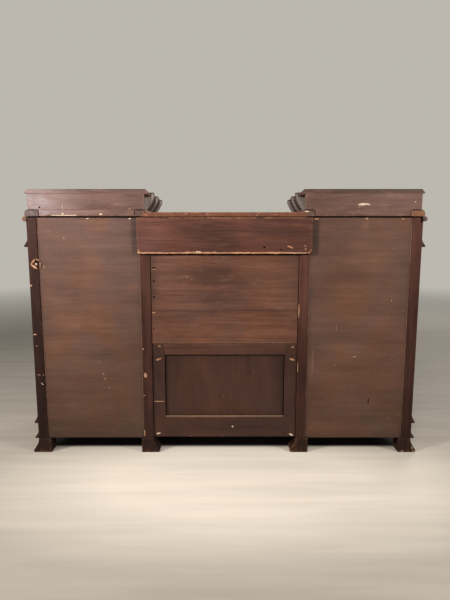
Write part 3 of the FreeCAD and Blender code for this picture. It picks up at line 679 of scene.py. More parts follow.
# Back panels' tints at foot and head: the right panel's bluish head is a painted sheen, and the warmer feet
# go with the painted shade towards the floor.
PANEL_TINTS = {"right": ((1.0, 0.97, 0.80), (0.93, 1.0, 1.14)), "left": ((1.0, 0.98, 0.92), (1.0, 1.0, 1.0))}
BACK_PANEL = {side: back_wood(side + "_back_panel_wood", (0.112, 0.054, 0.037), (0.130, 0.064, 0.045),
                              (0.150, 0.076, 0.055), 0.52, wear=0.5, foot_shade=0.52, specular=0.35, warm=0.9,
                              scuff=0.10, flecked=0.15, blotchy=0.6, foot_tint=foot_tint, head_tint=head_tint)
              for side, (foot_tint, head_tint) in PANEL_TINTS.items()}
BACK_BOARD = back_wood("back_board_wood", (0.078, 0.033, 0.022), (0.115, 0.051, 0.034), (0.160, 0.073, 0.050),
                       0.55, wear=0.6, specular=0.25, warm=0.8, scuff=0.12, flecked=0.25)
BACK_RAIL = mahogany("back_rail_wood", (0.054, 0.019, 0.014), (0.082, 0.031, 0.022), (0.130, 0.052, 0.036),
                     (0.66, 0.30, 0.12), 0.50, wear=1.0, even=0.6, figure=1.6, specular=0.25, warm=0.6,
                     scuff=0.10, flecked=0.25)
FRAMED_BACK = back_wood("framed_back_wood", (0.037, 0.0155, 0.0105), (0.049, 0.0215, 0.0152),
                        (0.062, 0.028, 0.020), 0.55, wear=0.5, dust=0.7, specular=0.22, warm=0.5,
                        flecked=0.15)
SUNK_WOOD = back_wood("sunk_panel_wood", (0.045, 0.0192, 0.0135), (0.050, 0.0218, 0.0155),
                      (0.056, 0.025, 0.018), 0.55, wear=0.0, specular=0.22, warm=0.5, flecked=0.1)
BOX_BACK = {"right": back_wood("right_box_back_wood", (0.115, 0.054, 0.042), (0.150, 0.073, 0.058),
                               (0.190, 0.098, 0.080), 0.32, wear=0.5, specular=0.6, scuff=0.3, flecked=0.2),
            "left": back_wood("left_box_back_wood", (0.120, 0.060, 0.046), (0.155, 0.080, 0.063),
                              (0.195, 0.106, 0.085), 0.40, wear=0.5, specular=0.4, scuff=0.3, flecked=0.2)}
# Near-black: painted shadow in gaps and under overhangs, and also the real dark marks of nail holes, gouges
# and stains.
SHADE_AND_DARK_MARKS = mahogany("shade_and_dark_mark_wood", (0.003, 0.002, 0.002), (0.005, 0.003, 0.003), (0.008, 0.005, 0.004),
                    (0.02, 0.012, 0.01), 0.9, wear=0.0, specular=0.05)
END_BLOCK = {"right": back_wood("pink_end_wood", (0.060, 0.034, 0.028), (0.150, 0.090, 0.076),
                                (0.250, 0.170, 0.150), 0.45, wear=0.3),
             "left": back_wood("orange_end_wood", (0.11, 0.038, 0.018), (0.22, 0.085, 0.038),
                               (0.34, 0.14, 0.064), 0.48, wear=0.6)}
LIPPING = back_wood("lipping_wood", (0.075, 0.026, 0.015), (0.14, 0.050, 0.028), (0.22, 0.088, 0.050), 0.5,
                    wear=0.9, even=0.4, specular=0.25, warm=0.5)
BARE = back_wood("bare_wood", (0.34, 0.145, 0.072), (0.50, 0.25, 0.14), (0.64, 0.38, 0.245), 0.7, wear=0.0,
                 specular=0.15)
# Pale rubbed wood, also used for a painted highlight.
RUBBED_AND_HIGHLIGHT = back_wood("rubbed_and_highlight_wood", (0.24, 0.125, 0.088), (0.31, 0.168, 0.122), (0.38, 0.215, 0.162), 0.6,
                   wear=0.0, foot_shade=0.45, specular=0.2)
CREAM = back_wood("cream_wood", (0.56, 0.40, 0.26), (0.74, 0.58, 0.41), (0.88, 0.75, 0.58), 0.7, wear=0.0,
                  specular=0.15)
LINING = [lining("drawer_lining_" + "xy"[axis], (0.17, 0.085, 0.042), (0.34, 0.19, 0.10), axis)
          for axis in range(2)]
BRASS = metal("aged_brass", (0.16, 0.085, 0.025), (0.62, 0.40, 0.14), 0.30, 1.0, 55.0)
IRON = metal("rusty_iron", (0.045, 0.022, 0.014), (0.16, 0.10, 0.075), 0.55, 0.7, 160.0)


def polished_piece(name, shapes, nodes=(), material=POLISHED, crease=None):
    """A polished piece of the carcase."""
    add_piece(name, shapes, material, "carcase", nodes, crease)


def back_piece(name, shapes, material, nodes=()):
    """A piece of the carcase's dry back."""
    add_piece(name, shapes, material, "carcase", nodes)


def dark_strips(name, spans, radius=LINE_ROUND):
    """Strips of shadow in the carcase's gaps; a span is (low corner, high corner, axis of its length)."""
    add_piece(name, [rounded_board(*span, radius=radius) for span in spans], SHADE_AND_DARK_MARKS, "carcase")


# Pedestals

def drip_section(z0, z1, proud):
    """Drip moulding section: flat below, a rounded lip, a hollow slope that thins out to the wall."""
    half_x, half_z = DRIP_NOSE
    under = [(0.0, z0), (proud * 0.5, z0), (proud - DRIP_FLAT, z0)]
    turn = np.radians([-60.0, -30.0, 0.0])
    nose = [(proud - half_x + half_x * math.cos(t), z0 + half_z + half_z * math.sin(t)) for t in turn]
    nose.append((proud - DRIP_BREAK[0], z0 + DRIP_LIP - DRIP_BREAK[1]))
    t = np.linspace(0, 1, 7)
    slope = list(zip(proud * (1 - t) ** 1.25, z0 + DRIP_LIP + (z1 - z0 - DRIP_LIP) * t))
    worn = [0.0, 0.0, 0.4, 0.9, 1.0, 1.0, 1.0] + list(np.linspace(0.7, 0.0, 7) ** 2)
    return under + nose + slope, np.array(worn)


def nosing_section(z0, z1, proud):
    """Nosing section: flat below and above, its nose half an ellipse."""
    t = np.radians(np.linspace(-90, 90, 11))
    nose = np.column_stack([proud - CORNICE_NOSE * (1 - np.cos(t)), (z0 + z1 + (z1 - z0) * np.sin(t)) / 2])
    flat = np.array([0.0, 0.35, 0.6]) * proud
    below, above = (np.column_stack([flat, np.full(3, z)]) for z in (z0, z1))
    section = np.vstack([below, nose, above[::-1]])
    return section, np.concatenate([np.zeros(3), np.cos(t) ** 2, np.zeros(3)])


def pedestal_path(sign):
    """Plan corners of one pedestal from its outer rear corner to its inner front corner."""
    return [(sign * OUTER_X, REAR_Y), (sign * OUTER_X, FRONT_Y), (sign * INNER_X, FRONT_Y)]


def drip_run(z0, z1):
    """One moulding round the sides and front, stepping back across the centre."""
    path = pedestal_path(1) + [(INNER_X, CENTRE_Y), (-INNER_X, CENTRE_Y)] + pedestal_path(-1)[::-1]
    return swept(path, *drip_section(z0, z1, DRIP_PROUD))


def cornice_run(sign):
    """Nosing under a pedestal's top board, stopped short of the back."""
    low, high = corners("cornice_mouldings")
    top_low, _ = corners("centre_top")
    path = [(sign * OUTER_X, high[1]), (sign * OUTER_X, FRONT_Y), (sign * INNER_X, FRONT_Y),
            (sign * INNER_X, top_low[1])]
    return swept(path if sign > 0 else path[::-1], *nosing_section(low[2], high[2], CORNICE_PROUD))


def cornice_end(sign):
    """End grain of a nosing: its section carried on a little, with painted shade that makes it near-black
    where it meets the wall.
    """
    low, high = corners("cornice_mouldings")
    path = [(sign * OUTER_X, high[1] + CORNICE_END), (sign * OUTER_X, high[1] - CORNICE_END)]
    section = nosing_section(low[2] - CORNICE_END_PROUD, high[2] + CORNICE_END_PROUD,
                             CORNICE_PROUD + CORNICE_END_PROUD)
    shape = swept(path if sign > 0 else path[::-1], *section)
    # Painted shade: near-black next to the wall.
    near_wall = np.abs(shape[0][:, 0]) < OUTER_X + CORNICE_DARK[0] * CORNICE_PROUD
    return toned(shape, np.where(near_wall, CORNICE_DARK[1], 1.0))


def foot_shape(face_x, side, front):
    """Rectangles stacked up a foot; the flaring sides stand out by a rounded lip, then by a hollow
    that dies away as a power of the height left to the neck."""
    lip_z = np.array([0.0, 0.002, 0.006, 0.010, FOOT_LIP])
    lip_u = FOOT_FLARE - np.array([0.003, 0.001, 0.0, 0.0008, 0.002])
    share = np.linspace(0.08, 1, 9)
    z = np.concatenate([lip_z, FOOT_LIP + (FOOT_NECK - FOOT_LIP) * share, [FOOT_Z]])
    u = np.concatenate([lip_u, (FOOT_FLARE - 0.002) * (1 - share) ** 1.5, [-FOOT_SUNK]])
    inner_x = np.full_like(z, face_x - side * (POST + FOOT_TOE))
    outer_x = face_x + side * u
    if front:
        y0, y1 = FRONT_Y - u, np.full_like(z, FRONT_Y + POST + FOOT_TOE)
    else:
        y0, y1 = np.full_like(z, REAR_Y - FOOT_DEPTH), REAR_Y - FOOT_SUNK * (z > FOOT_NECK)
    steps = np.column_stack([np.minimum(inner_x, outer_x), np.maximum(inner_x, outer_x), y0, y1, z])
    worn = np.interp(z, [0, 0.006, 0.012, 0.03], [0.35, 0.3, 0.2, 0.0])
    return stacked(steps, 2, worn, spacing=0.012, corner=0.0022)


def rounded_over(low_z, high_z, radius, eased):
    """Inset and height up a board's edge: eased below, upright, then a quarter round."""
    angle = np.radians(np.linspace(0, 90, 6))
    inset = np.concatenate([[eased, 0.0, 0.0], radius * (1 - np.cos(angle))[1:]])
    z = np.concatenate([[low_z, low_z + EASED_RISE, high_z - radius],
                        high_z - radius * (1 - np.sin(angle))[1:]])
    return inset, z


def top_board_shapes(side):
    """Top board with a rounded upper edge on three sides, and the two end blocks that close it at the
    back corners."""
    low, high = corners(side + "_top_board")
    low_strip, high_strip = (TOP_INNER_STRIP, TOP_OVERHANG_STRIP)[::int(SIDES[side])]
    back_y = corners(side + "_box_back")[0][1]
    inset, z = rounded_over(low[2], high[2], TOP_ROUND, TOP_EASED)
    worn = np.interp(z, [low[2], high[2] - TOP_ROUND, high[2] - 0.004, high[2]], [0.6, 0.2, 0.7, 0.1])
    rows = np.column_stack([low[0] + inset, high[0] - inset, low[1] + inset, np.full_like(z, back_y), z])
    board, blocks = stacked(rows, 0, worn), []
    for x0, x1, at_low in ((low[0], low[0] + low_strip, True), (high[0] - high_strip, high[0], False)):
        rows = np.column_stack([x0 + inset * at_low, x1 - inset * (not at_low), np.full_like(z, back_y),
                                np.full_like(z, high[1]), z])
        block = stacked(rows, 1, 0.5 * worn, spacing=0.01)
        # Darker along the block's top edge and its outer end.
        outer = (block[0][:, 0] - x0) if at_low else (x1 - block[0][:, 0])
        edged = (block[0][:, 2] > high[2] - BLOCK_EDGE_BAND[0]) | (outer < BLOCK_EDGE_BAND[1])
        blocks.append(toned(block, np.where(edged, BLOCK_EDGE_DARK, 1.0)))
    return board, blocks


def lid_shapes(side):
    """Rear strip, and a field set in from its ends; both edges run out to a beaked lip, then slope in to
    the top."""
    low, high = corners(side + "_box_lid")
    z = np.array([0.0, 0.0012, 0.0030, LID_LIP, 0.0050, 0.0085, 0.0125, 0.0160, 0.0175, high[2] - low[2]])
    inset = np.array([LID_UNDERCUT, 0.0040, 0.0012, 0.0003, 0.0004, 0.0022, 0.0044, 0.0060, 0.0068, 0.0084])
    worn = np.array([0.3, 0.5, 0.9, 1.0, 0.9, 0.3, 0.2, 0.6, 0.8, 0.5])
    strip_y = np.full_like(z, high[1] - LID_STRIP)
    end = inset + LID_END_SLOPE * np.clip((z - LID_LIP) / (z[-1] - LID_LIP), 0, 1)
    strip = np.column_stack([low[0] + end, high[0] - end, strip_y, np.full_like(z, high[1]), low[2] + z])
    set_in = LID_STEP + inset
    field = np.column_stack([low[0] + set_in, high[0] - set_in, low[1] + inset, strip_y, low[2] + z])
    strip = stacked(strip, 0, 0.15 * worn)
    arris = np.exp((strip[0][:, 1] - high[1] + strip[0][:, 2] - high[2]) / LID_ARRIS)
    arris *= np.clip((LID_ARRIS_END[0] - strip[0][:, 0]) / LID_ARRIS_END[1], 0, 1)
    return toned(strip, 1 - LID_ARRIS_SHADE * arris), stacked(field, 0, worn)


def corbel_shapes(origin, out_axis, out_sign, rise, rimmed=False, pale=1.0, root_pale=0.0):
    """A bracket: a section whose slanting underside swells a little, carried along its width, and a block
    at its tip that hooks up against the lid's edge under a flat head. Its rear face is made pale by a factor,
    more so at its root, as painted light; its other faces and its head are darker as painted shade; a
    rimmed bracket's rear face is painted shade but for a pale rim along its slope."""
    top = LID_Z - BOX_Z
    cap = top - CORBEL_CAP
    tip = CORBEL_REACH - CORBEL_SHORT
    t = np.linspace(0, 1, 9)
    curve = CORBEL_TOE + (tip - CORBEL_TOE) * (1 - (1 - t) ** 1.2)
    slope = list(zip(curve, CORBEL_EASED + (cap - CORBEL_EASED) * t))
    section = [(0.0, 0.0), (CORBEL_TOE * 0.6, 0.0)] + slope
    section += [(tip, cap + CORBEL_BREAK), (tip, top), (0.0, top)]
    worn = np.array([0.0, 0.3] + [0.35] * 9 + [0.5, 0.2, 0.0])
    section = np.array(section) + [0.0, BOX_Z]
    start = np.array(origin, float)
    step = np.array([0.0, CORBEL_WIDTH] if out_axis == 0 else [CORBEL_WIDTH, 0.0])
    path = [start, start + step]
    run = step / CORBEL_WIDTH
    if np.array([-run[1], run[0]])[out_axis] != out_sign:
        path = path[::-1]
    near = start[out_axis] + out_sign * (CORBEL_REACH - LID_STEP)
    far = start[out_axis] + out_sign * CORBEL_REACH
    low, high = np.append(start, BOX_Z + cap), np.append(start + step, LID_Z + rise)
    low[out_axis], high[out_axis] = min(near, far), max(near, far)
    body = swept(path, section, worn, **CORBEL_SWEEP)
    hook = rounded_board(low, high - [0, 0, HOOK_SHORT], 2, radius=HOOK_ROUND, spacing=0.004)

    def rear_toned(shape, rear):
        behind = np.exp((shape[0][:, 1] - shape[0][:, 1].max()) / REAR_FADE)
        from_tip = 1 - np.abs(shape[0][:, out_axis] - start[out_axis]) / CORBEL_REACH
        return toned(shape, CORBEL_SHADE + (rear * (1 + root_pale * from_tip) - CORBEL_SHADE) * behind)

    shapes = [rear_toned(body, pale), rear_toned(hook, pale)]
    near = start[out_axis] + out_sign * (CORBEL_REACH - CORBEL_HEAD[0])
    low[2] = high[2] - CORBEL_HEAD[1]
    low[out_axis], high[out_axis] = min(near, far), max(near, far)
    low[:2] -= HEAD_PROUD
    high[:2] += HEAD_PROUD
    head = rounded_board(low, high, 2, radius=HEAD_ROUND, spacing=0.006)
    shapes.append(rear_toned(head, NUB_SHADE * pale))
    if rimmed:
        inner = section - [CORBEL_RIM, 0.0]
        inner[:, 0] = np.maximum(inner[:, 0], RIM_STEPS[0] + RIM_STEPS[1] * np.arange(len(inner)))
        inner[[0, -1], 0] = 0.0
        proud = np.array(path)
        proud[:, 1] += RIM_PROUD
        shapes.append(toned(swept(proud, inner, 0 * worn, **CORBEL_SWEEP), INNER_SHADE * pale))
    return shapes


def box_walls_of(side):
    """Faces of a raised box: its two sides' x and its front's y."""
    low, high = corners(side + "_box_lid")
    return low[0] + CORBEL_REACH, high[0] - CORBEL_REACH, corners("box_walls")[0][1]


def box_corbels(side):
    """Brackets under the lid along both sides and across the front of one box."""
    x0, x1, front = box_walls_of(side)
    shapes = []
    for y, rise in zip(np.linspace(REAR_Y - FIRST_CORBEL - CORBEL_WIDTH, front, 3), CORBEL_RISES):
        rimmed = rise != CORBEL_RISES[0]
        look = (rimmed, CORBEL_PALE[side], 0.0 if rimmed else CORBEL_ROOT_PALE[side])
        shapes += corbel_shapes((x0, y), 0, -1, rise, *look) + corbel_shapes((x1, y), 0, 1, rise, *look)
    for x in np.linspace(x0, x1 - CORBEL_WIDTH, 4):
        shapes += corbel_shapes((x, front), 1, -1, FRONT_CORBEL_RISE)
    return shapes


def wall_boards(side):
    """Two sides and a front of a raised box."""
    x0, x1, y0 = box_walls_of(side)
    y1 = corners(side + "_box_back")[0][1]
    t = BOX_BOARD
    return [rounded_board((x0, y0, BOX_Z), (x0 + t, y1, LID_Z), 1),
            rounded_board((x1 - t, y0, BOX_Z), (x1, y1, LID_Z), 1),
            rounded_board((x0 + t, y0, BOX_Z), (x1 - t, y0 + t, LID_Z), 0)]


def pair_of_posts(node, below=0.0, above=0.0, **finish):
    """Outer and inner post of a node, let into the foot below and stopped under the painted shadow strip
    above.
    """
    low, high = corners(node)
    low[2] -= below
    high[2] -= above
    return [rounded_board(low, (low[0] + POST, high[1], high[2]), 2, spacing=0.012, **finish),
            rounded_board((high[0] - POST, low[1], low[2]), high, 2, spacing=0.012, **finish)]


def side_polished(post, tone):
    """A rear post toned all over but for its outer side, which is polished like the board beside it."""
    points = post[0]
    outer = np.clip((np.abs(points[:, 0]) - OUTER_X + POST_SIDE_BLEND[0]) / POST_SIDE_BLEND[1], 0, 1)
    within = np.clip((REAR_Y - POST_REAR_BLEND[0] - points[:, 1]) / POST_REAR_BLEND[1], 0, 1)
    return toned(post, tone + (POST_SIDE_TONE - tone) * outer * within)


def post_shadow_strips(node):
    """Near-black strips between the posts and the top board, set back from the posts' faces: painted shadow
    in the gap there.
    """
    low, high = corners(node)
    z = (high[2] - SHADOW_STRIP - SHADOW_STRIP_LAP, high[2])
    return [rounded_board((x + SHADOW_STRIP_SUNK, low[1] + SHADOW_STRIP_SUNK, z[0]),
                          (x + POST - SHADOW_STRIP_SUNK, high[1] - SHADOW_STRIP_SUNK, z[1]), 0, radius=SHADOW_STRIP_ROUND)
            for x in (low[0], high[0] - POST)]


def front_boards(depth, pedestal_spans, centre_spans):
    """Boards across the front, a span being (lowest, highest): between each pedestal's posts, then across
    the centre."""
    boards = []
    for s in (1, -1):
        x0, x1 = sorted((s * (INNER_X + POST), s * (OUTER_X - POST)))
        boards += [rounded_board((x0, FRONT_Y, z0), (x1, FRONT_Y + depth, z1), 0)
                   for z0, z1 in pedestal_spans]
    return boards + [rounded_board((-INNER_X, CENTRE_Y, z0), (INNER_X, CENTRE_Y + depth, z1), 0)
                     for z0, z1 in centre_spans]


POST_FINISH = dict(worn_faces=((0.15, 0.15), (0, 0), (0.0, 0.1)), wear=0.0006, mottle=0.14)
# Painted light and shade: the left pedestal's back panel is darker than the right's.
PANEL_TONE = {"right": 1.0, "left": 0.89}
PANEL_MOTTLE = {"right": 0.07, "left": 0.11}
# The last spot on each side, tall and narrow beside the rail's end, is a painted shadow of the rail.
PANEL_SPOTS = {"right": [(0.64, 0.58, 0.07, 0.05, 0.12), (0.50, 0.98, 0.10, 0.01, 0.15),
                         (0.55, 0.58, 0.25, 0.24, 0.24), (0.55, 0.07, 0.40, 0.08, -0.22),
                         (0.364, 0.925, 0.016, 0.078, -0.42, 8)],
               "left": [(-0.568, 0.964, 0.014, 0.018, 0.3), (-0.365, 0.40, 0.012, 0.08, 0.25),
                        (-0.55, 0.40, 0.40, 0.30, 0.20), (-0.58, 0.99, 0.20, 0.03, 0.22),
                        (-0.366, 0.925, 0.0175, 0.078, -0.50, 8)]}
LID_TONE = {"right": 1.0, "left": 0.62}
OUTER_BLOCK_TONE = {"right": 0.7, "left": 1.0}
INNER_BLOCK_TONE = 0.75
POST_TONE = {"right": (1.16, 0.56), "left": (1.24, 1.06)}
POST_SIDE_TONE = 1.9
FRONT_FOOT_TONE, REAR_FOOT_TONE = 1.4, 0.72
POST_SPOTS = {"right": [(0.78, 0.93, 0.04, 0.11, 0.45, 4), (0.78, 0.50, 0.04, 0.22, -0.24, 4)],
              "left": [(-0.78, 0.93, 0.04, 0.10, 0.32, 4)]}
for side, sign in SIDES.items():
    rear = side + "_rear_posts"
    posts = pair_of_posts(rear, POST_SCARF, SHADOW_STRIP, spots=POST_SPOTS[side], **POST_FINISH)
    posts = [side_polished(post, tone) for post, tone in zip(posts[::int(sign)], POST_TONE[side])]
    back_piece(side + "_rear_post_pair", posts, BACK_POST, [rear])
    back_piece(side + "_post_shadow_strips", post_shadow_strips(rear), SHADE_AND_DARK_MARKS)
    front_posts = side + "_front_posts"
    polished_piece(side + "_front_post_pair", pair_of_posts(front_posts), [front_posts])
    low, high = corners(side + "_side_boards")
    boards = [rounded_board(low, (low[0] + SIDE, high[1], high[2]), 2, spacing=0.03),
              rounded_board((high[0] - SIDE, low[1], low[2]), high, 2, spacing=0.03)]
    polished_piece(side + "_side_pair", boards, [side + "_side_boards"])
    low, high = corners(side + "_back_panel")
    # rim: painted shade along the panel's edges.
    panel = rounded_board(low, high, 0, spacing=0.008, warp=0.0006, worn_faces=((0, 0), (0, 0), (0, 0.25)),
                          mottle=PANEL_MOTTLE[side], spots=PANEL_SPOTS[side], rim=0.25)
    back_piece(side + "_back_board", [toned(panel, PANEL_TONE[side])], BACK_PANEL[side],
               [side + "_back_panel"])
    # Painted shadow: a near-black strip behind the gap under the box back.
    gap = ((low[0], low[1], high[2] - LINE_LAP),
           (high[0], high[1] - PANEL_GAP_SUNK, CARCASE_Z + PANEL_GAP_LAP))
    dark_strips(side + "_panel_gap", [(*gap, 0)], radius=EDGE_ROUND)
    top_board, end_blocks = top_board_shapes(side)
    inner_block, outer_block = end_blocks[::int(sign)]
    polished_piece(side + "_moulded_top", [top_board], [side + "_top_board"])
    polished_piece(side + "_outer_end_block", [toned(outer_block, OUTER_BLOCK_TONE[side])],
                   material=END_BLOCK[side])
    polished_piece(side + "_inner_end_block", [toned(inner_block, INNER_BLOCK_TONE)], material=BOX_BACK[side])
    low, high = corners(side + "_box_back")
    tongue_x = sorted([sign * (INNER_X + TOP_INSET + TOP_INNER_STRIP),
                       sign * (OUTER_X + TOP_OVERHANG - TOP_OVERHANG_STRIP)])
    boards = [rounded_board((low[0], low[1], BOX_Z), high, 0, radius=BOX_ROUND, spacing=0.012,
                            worn_faces=((0.3, 0.3), (0, 0), (0.0, 0.0)), mottle=0.10),
              rounded_board((tongue_x[0], low[1], low[2]), (tongue_x[1], high[1], BOX_Z), 0, radius=BOX_ROUND,
                            spacing=0.012, wear=0.0008, worn_faces=((0.2, 0.2), (0, 0), (1.0, 0.0)),
                            mottle=0.10),
              rounded_board((tongue_x[0] + SEAM, low[1] + SEAM, BOX_Z - SEAM),
                            (tongue_x[1] - SEAM, high[1] - SEAM_SUNK, BOX_Z + SEAM), 0, radius=SEAM_ROUND)]
    back_piece(side + "_box_back_board", boards, BOX_BACK[side], [side + "_box_back"])
    strip, field = lid_shapes(side)
    polished_piece(side + "_beaked_lid", [field], [side + "_box_lid"])
    back_piece(side + "_lid_rear_strip", [toned(strip, LID_TONE[side])], BOX_BACK[side])

polished_piece("box_wall_boards", wall_boards("right") + wall_boards("left"), ["box_walls"])
polished_piece("lid_corbels", box_corbels("right") + box_corbels("left"), ["corbels"], CARVED, CREASE)
polished_piece("cornice_runs", [cornice_run(1), cornice_run(-1)], ["cornice_mouldings"])
for side, other in (("right", "left"), ("left", "right")):
    polished_piece(side + "_cornice_end_grain", [cornice_end(SIDES[side])], (), END_BLOCK[other], CREASE)
polished_piece("frieze_run", [shaded_to_back(drip_run(FRIEZE_Z, DRAWER_Z))], ["frieze_moulding"])
plinth_spans = ((FOOT_Z, FOOT_Z + LOWER_DRIP), (PLINTH_Z - UPPER_DRIP, PLINTH_Z))
polished_piece("plinth_runs", [shaded_to_back(drip_run(*span)) for span in plinth_spans], ["plinth_mouldings"])
feet = [toned(foot_shape(s * x, s * way, front), FRONT_FOOT_TONE if front else REAR_FOOT_TONE)
        for s in (1, -1) for x, way in ((OUTER_X, 1), (INNER_X, -1)) for front in (False, True)]
polished_piece("flared_feet", feet, ["feet"], BACK_POST)
plinth_height = [(FOOT_Z, PLINTH_Z)]
polished_piece("plinth_boards", front_boards(PLINTH_BOARD, plinth_height, plinth_height), ["plinth_rails"])
centre_top_low, centre_top_high = corners("centre_top")
drawer_rails = front_boards(RAIL_DEPTH, [(FRIEZE_Z, DRAWER_Z), (TOP_RAIL_Z, CARCASE_Z)],
                            [(FRIEZE_Z, DRAWER_Z), (TOP_RAIL_Z, centre_top_low[2])])
polished_piece("drawer_rail_boards", drawer_rails, ["drawer_rails"])


# Centre

def centre_top_shape():
    """Lower top with its front edge rounded over."""
    low, high = centre_top_low, centre_top_high
    inset, z = rounded_over(low[2], high[2], CENTRE_TOP_ROUND, CENTRE_TOP_EASED)
    back = np.minimum(inset, TOP_EASED)
    worn = np.interp(z, [low[2], high[2] - CENTRE_TOP_ROUND, high[2] - 0.002, high[2]], [0.6, 0.3, 0.8, 0.9])
    rows = np.column_stack([np.full_like(z, low[0]), np.full_like(z, high[0]), low[1] + inset,
                            high[1] - back, z])
    return stacked(rows, 0, worn, corner=0.0008)


RAIL_SPOTS = [(0.0, 0.93, 1.0, 1.0, 0.06), (0.31, 0.93, 0.09, 0.10, 0.60), (0.03, 0.92, 0.12, 0.05, -0.34),
              (-0.02, 0.96, 0.12, 0.03, -0.15), (-0.19, 0.91, 0.08, 0.012, 0.35),
              (0.24, 0.955, 0.06, 0.012, 0.45), (0.15, 0.975, 0.12, 0.010, 0.30),
              (-0.15, 0.975, 0.10, 0.010, 0.30), (-0.30, 0.93, 0.10, 0.10, -0.15)]


def back_rail_shape():
    """Board with one lower corner rounded: points of the corner square that lie beyond the round are
    drawn in to it along their radius."""
    low, high = corners("centre_back_rail")
    points, quads, edge, grain, tone = rounded_board(
        low, high, 0, radius=0.0022, spacing=0.008, wear=0.0014, reach=0.0032, warp=0.0006,
        worn_faces=((0.3, 0.25), (0, 0), (1.0, 0.25)), mottle=0.20, spots=RAIL_SPOTS)
    centre = np.array([low[0] + RAIL_CORNER, low[2] + RAIL_CORNER])
    away = points[:, [0, 2]] - centre
    length = np.linalg.norm(away, axis=1)
    beyond = (away < 0).all(1) & (length > RAIL_CORNER)
    rounding = np.exp(-(RAIL_CORNER - length).clip(0) / 0.003)
    edge = np.where((away < 0).all(1), np.maximum(edge, rounding), edge)
    points[:, [0, 2]] = np.where(beyond[:, None], centre + away * (RAIL_CORNER / length)[:, None],
                                 points[:, [0, 2]])
    return points, quads, edge, grain, tone


polished_piece("centre_top_slab", [centre_top_shape()], ["centre_top"])
top_rear, top_under = centre_top_high[1], centre_top_low[2]
lipping = rounded_board((-LIPPING_REACH, top_rear - LINE_SUNK, top_under + LIPPING_GAP),
                        (LIPPING_REACH, top_rear + LIPPING_PROUD, centre_top_high[2] - LINE_LAP), 0,
                        radius=BOX_ROUND, spacing=0.01, worn_faces=((0, 0), (0, 0.4), (0.5, 1.0)), mottle=0.2)
polished_piece("centre_top_lipping", [lipping], material=LIPPING)
# Painted shadow: a near-black strip behind the gap under the lipping.
top_gap = ((-LIPPING_REACH, top_rear - LINE_SUNK, top_under - LINE_LAP),
           (LIPPING_REACH, top_rear + TOP_GAP_PROUD, top_under + LIPPING_GAP + LINE_LAP))
dark_strips("centre_top_gap", [(*top_gap, 0)])
rail_low, rail_high = corners("centre_back_rail")
boards_y = corners("centre_back_boards")[1][1]
rail_gap = ((rail_low[0] + RAIL_GAP_IN, boards_y - LINE_SUNK, rail_low[2] - RAIL_GAP),
            (rail_high[0] - RAIL_GAP_IN, REAR_Y + RAIL_GAP_PROUD, rail_low[2] + LINE_LAP))
dark_strips("rail_shadow_gap", [(*rail_gap, 0)])
back_piece("back_rail_board", [back_rail_shape()], BACK_RAIL, ["centre_back_rail"])
low, high = corners("centre_back_boards")
joint_z = low[2] + LOWER_BACK_BOARD
# rim: painted shade along the boards' edges.
BOARD_FINISH = dict(spacing=0.015, wear=0.0008, warp=0.0006, worn_faces=((0.1, 0.1), (0, 0), (0.15, 0.25)),
                    mottle=0.17, rim=0.35, rim_reach=0.006)
LOWER_BOARD_TONE = 1.11
UPPER_BOARD_SPOTS = [(0.293, 0.73, 0.014, 0.12, -0.25)]
FRAME_FINISH = dict(worn_faces=((0.2, 0.2), (0, 0), (0.2, 0.5)), mottle=0.12)
boards = [toned(rounded_board(low, (high[0], high[1], joint_z), 0, **BOARD_FINISH), LOWER_BOARD_TONE),
          rounded_board((low[0], low[1], joint_z), high, 0, spots=UPPER_BOARD_SPOTS, **BOARD_FINISH)]
back_piece("niche_back_boards", boards, BACK_BOARD, ["centre_back_boards"])
frame_low, frame_high = corners("centre_back_frame")
stile_x = frame_high[0] - FRAME_STILE
rail_z = (frame_low[2] + FRAME_BOTTOM_RAIL, frame_high[2] - FRAME_TOP_RAIL)
STILE_TONE, TOP_RAIL_TONE, BOTTOM_RAIL_TONE = 0.88, 1.26, 0.82
TOP_RAIL_SPOTS = [(0.0, frame_high[2], 1.0, 0.06, 0.25)]
stile_spans = ((frame_low, (-stile_x, frame_high[1], frame_high[2])),
               ((stile_x, frame_low[1], frame_low[2]), frame_high))
stiles = [rounded_board(*span, 2, spacing=0.012, **FRAME_FINISH) for span in stile_spans]
top_rail = rounded_board((-stile_x, frame_low[1], rail_z[1]), (stile_x, frame_high[1], frame_high[2]), 0,
                         spacing=0.015, spots=TOP_RAIL_SPOTS, **FRAME_FINISH)
bottom_rail = rounded_board((-stile_x, frame_low[1], frame_low[2]), (stile_x, frame_high[1], rail_z[0]), 0,
                            spacing=0.015, **FRAME_FINISH)
framing = [toned(stile, STILE_TONE) for stile in stiles]
framing += [toned(top_rail, TOP_RAIL_TONE), toned(bottom_rail, BOTTOM_RAIL_TONE)]
back_piece("framed_back", framing, FRAMED_BACK, ["centre_back_frame"])
low, high = corners("centre_back_panel")
# rim: painted shade along the sunk panel's edges.
panel = rounded_board(low, high, 2, spacing=0.015, warp=0.0005, worn_faces=((0, 0), (0, 0), (0, 0)), rim=0.35,
                      rim_reach=0.022)
back_piece("sunk_back_panel", [panel], SUNK_WOOD, ["centre_back_panel"])
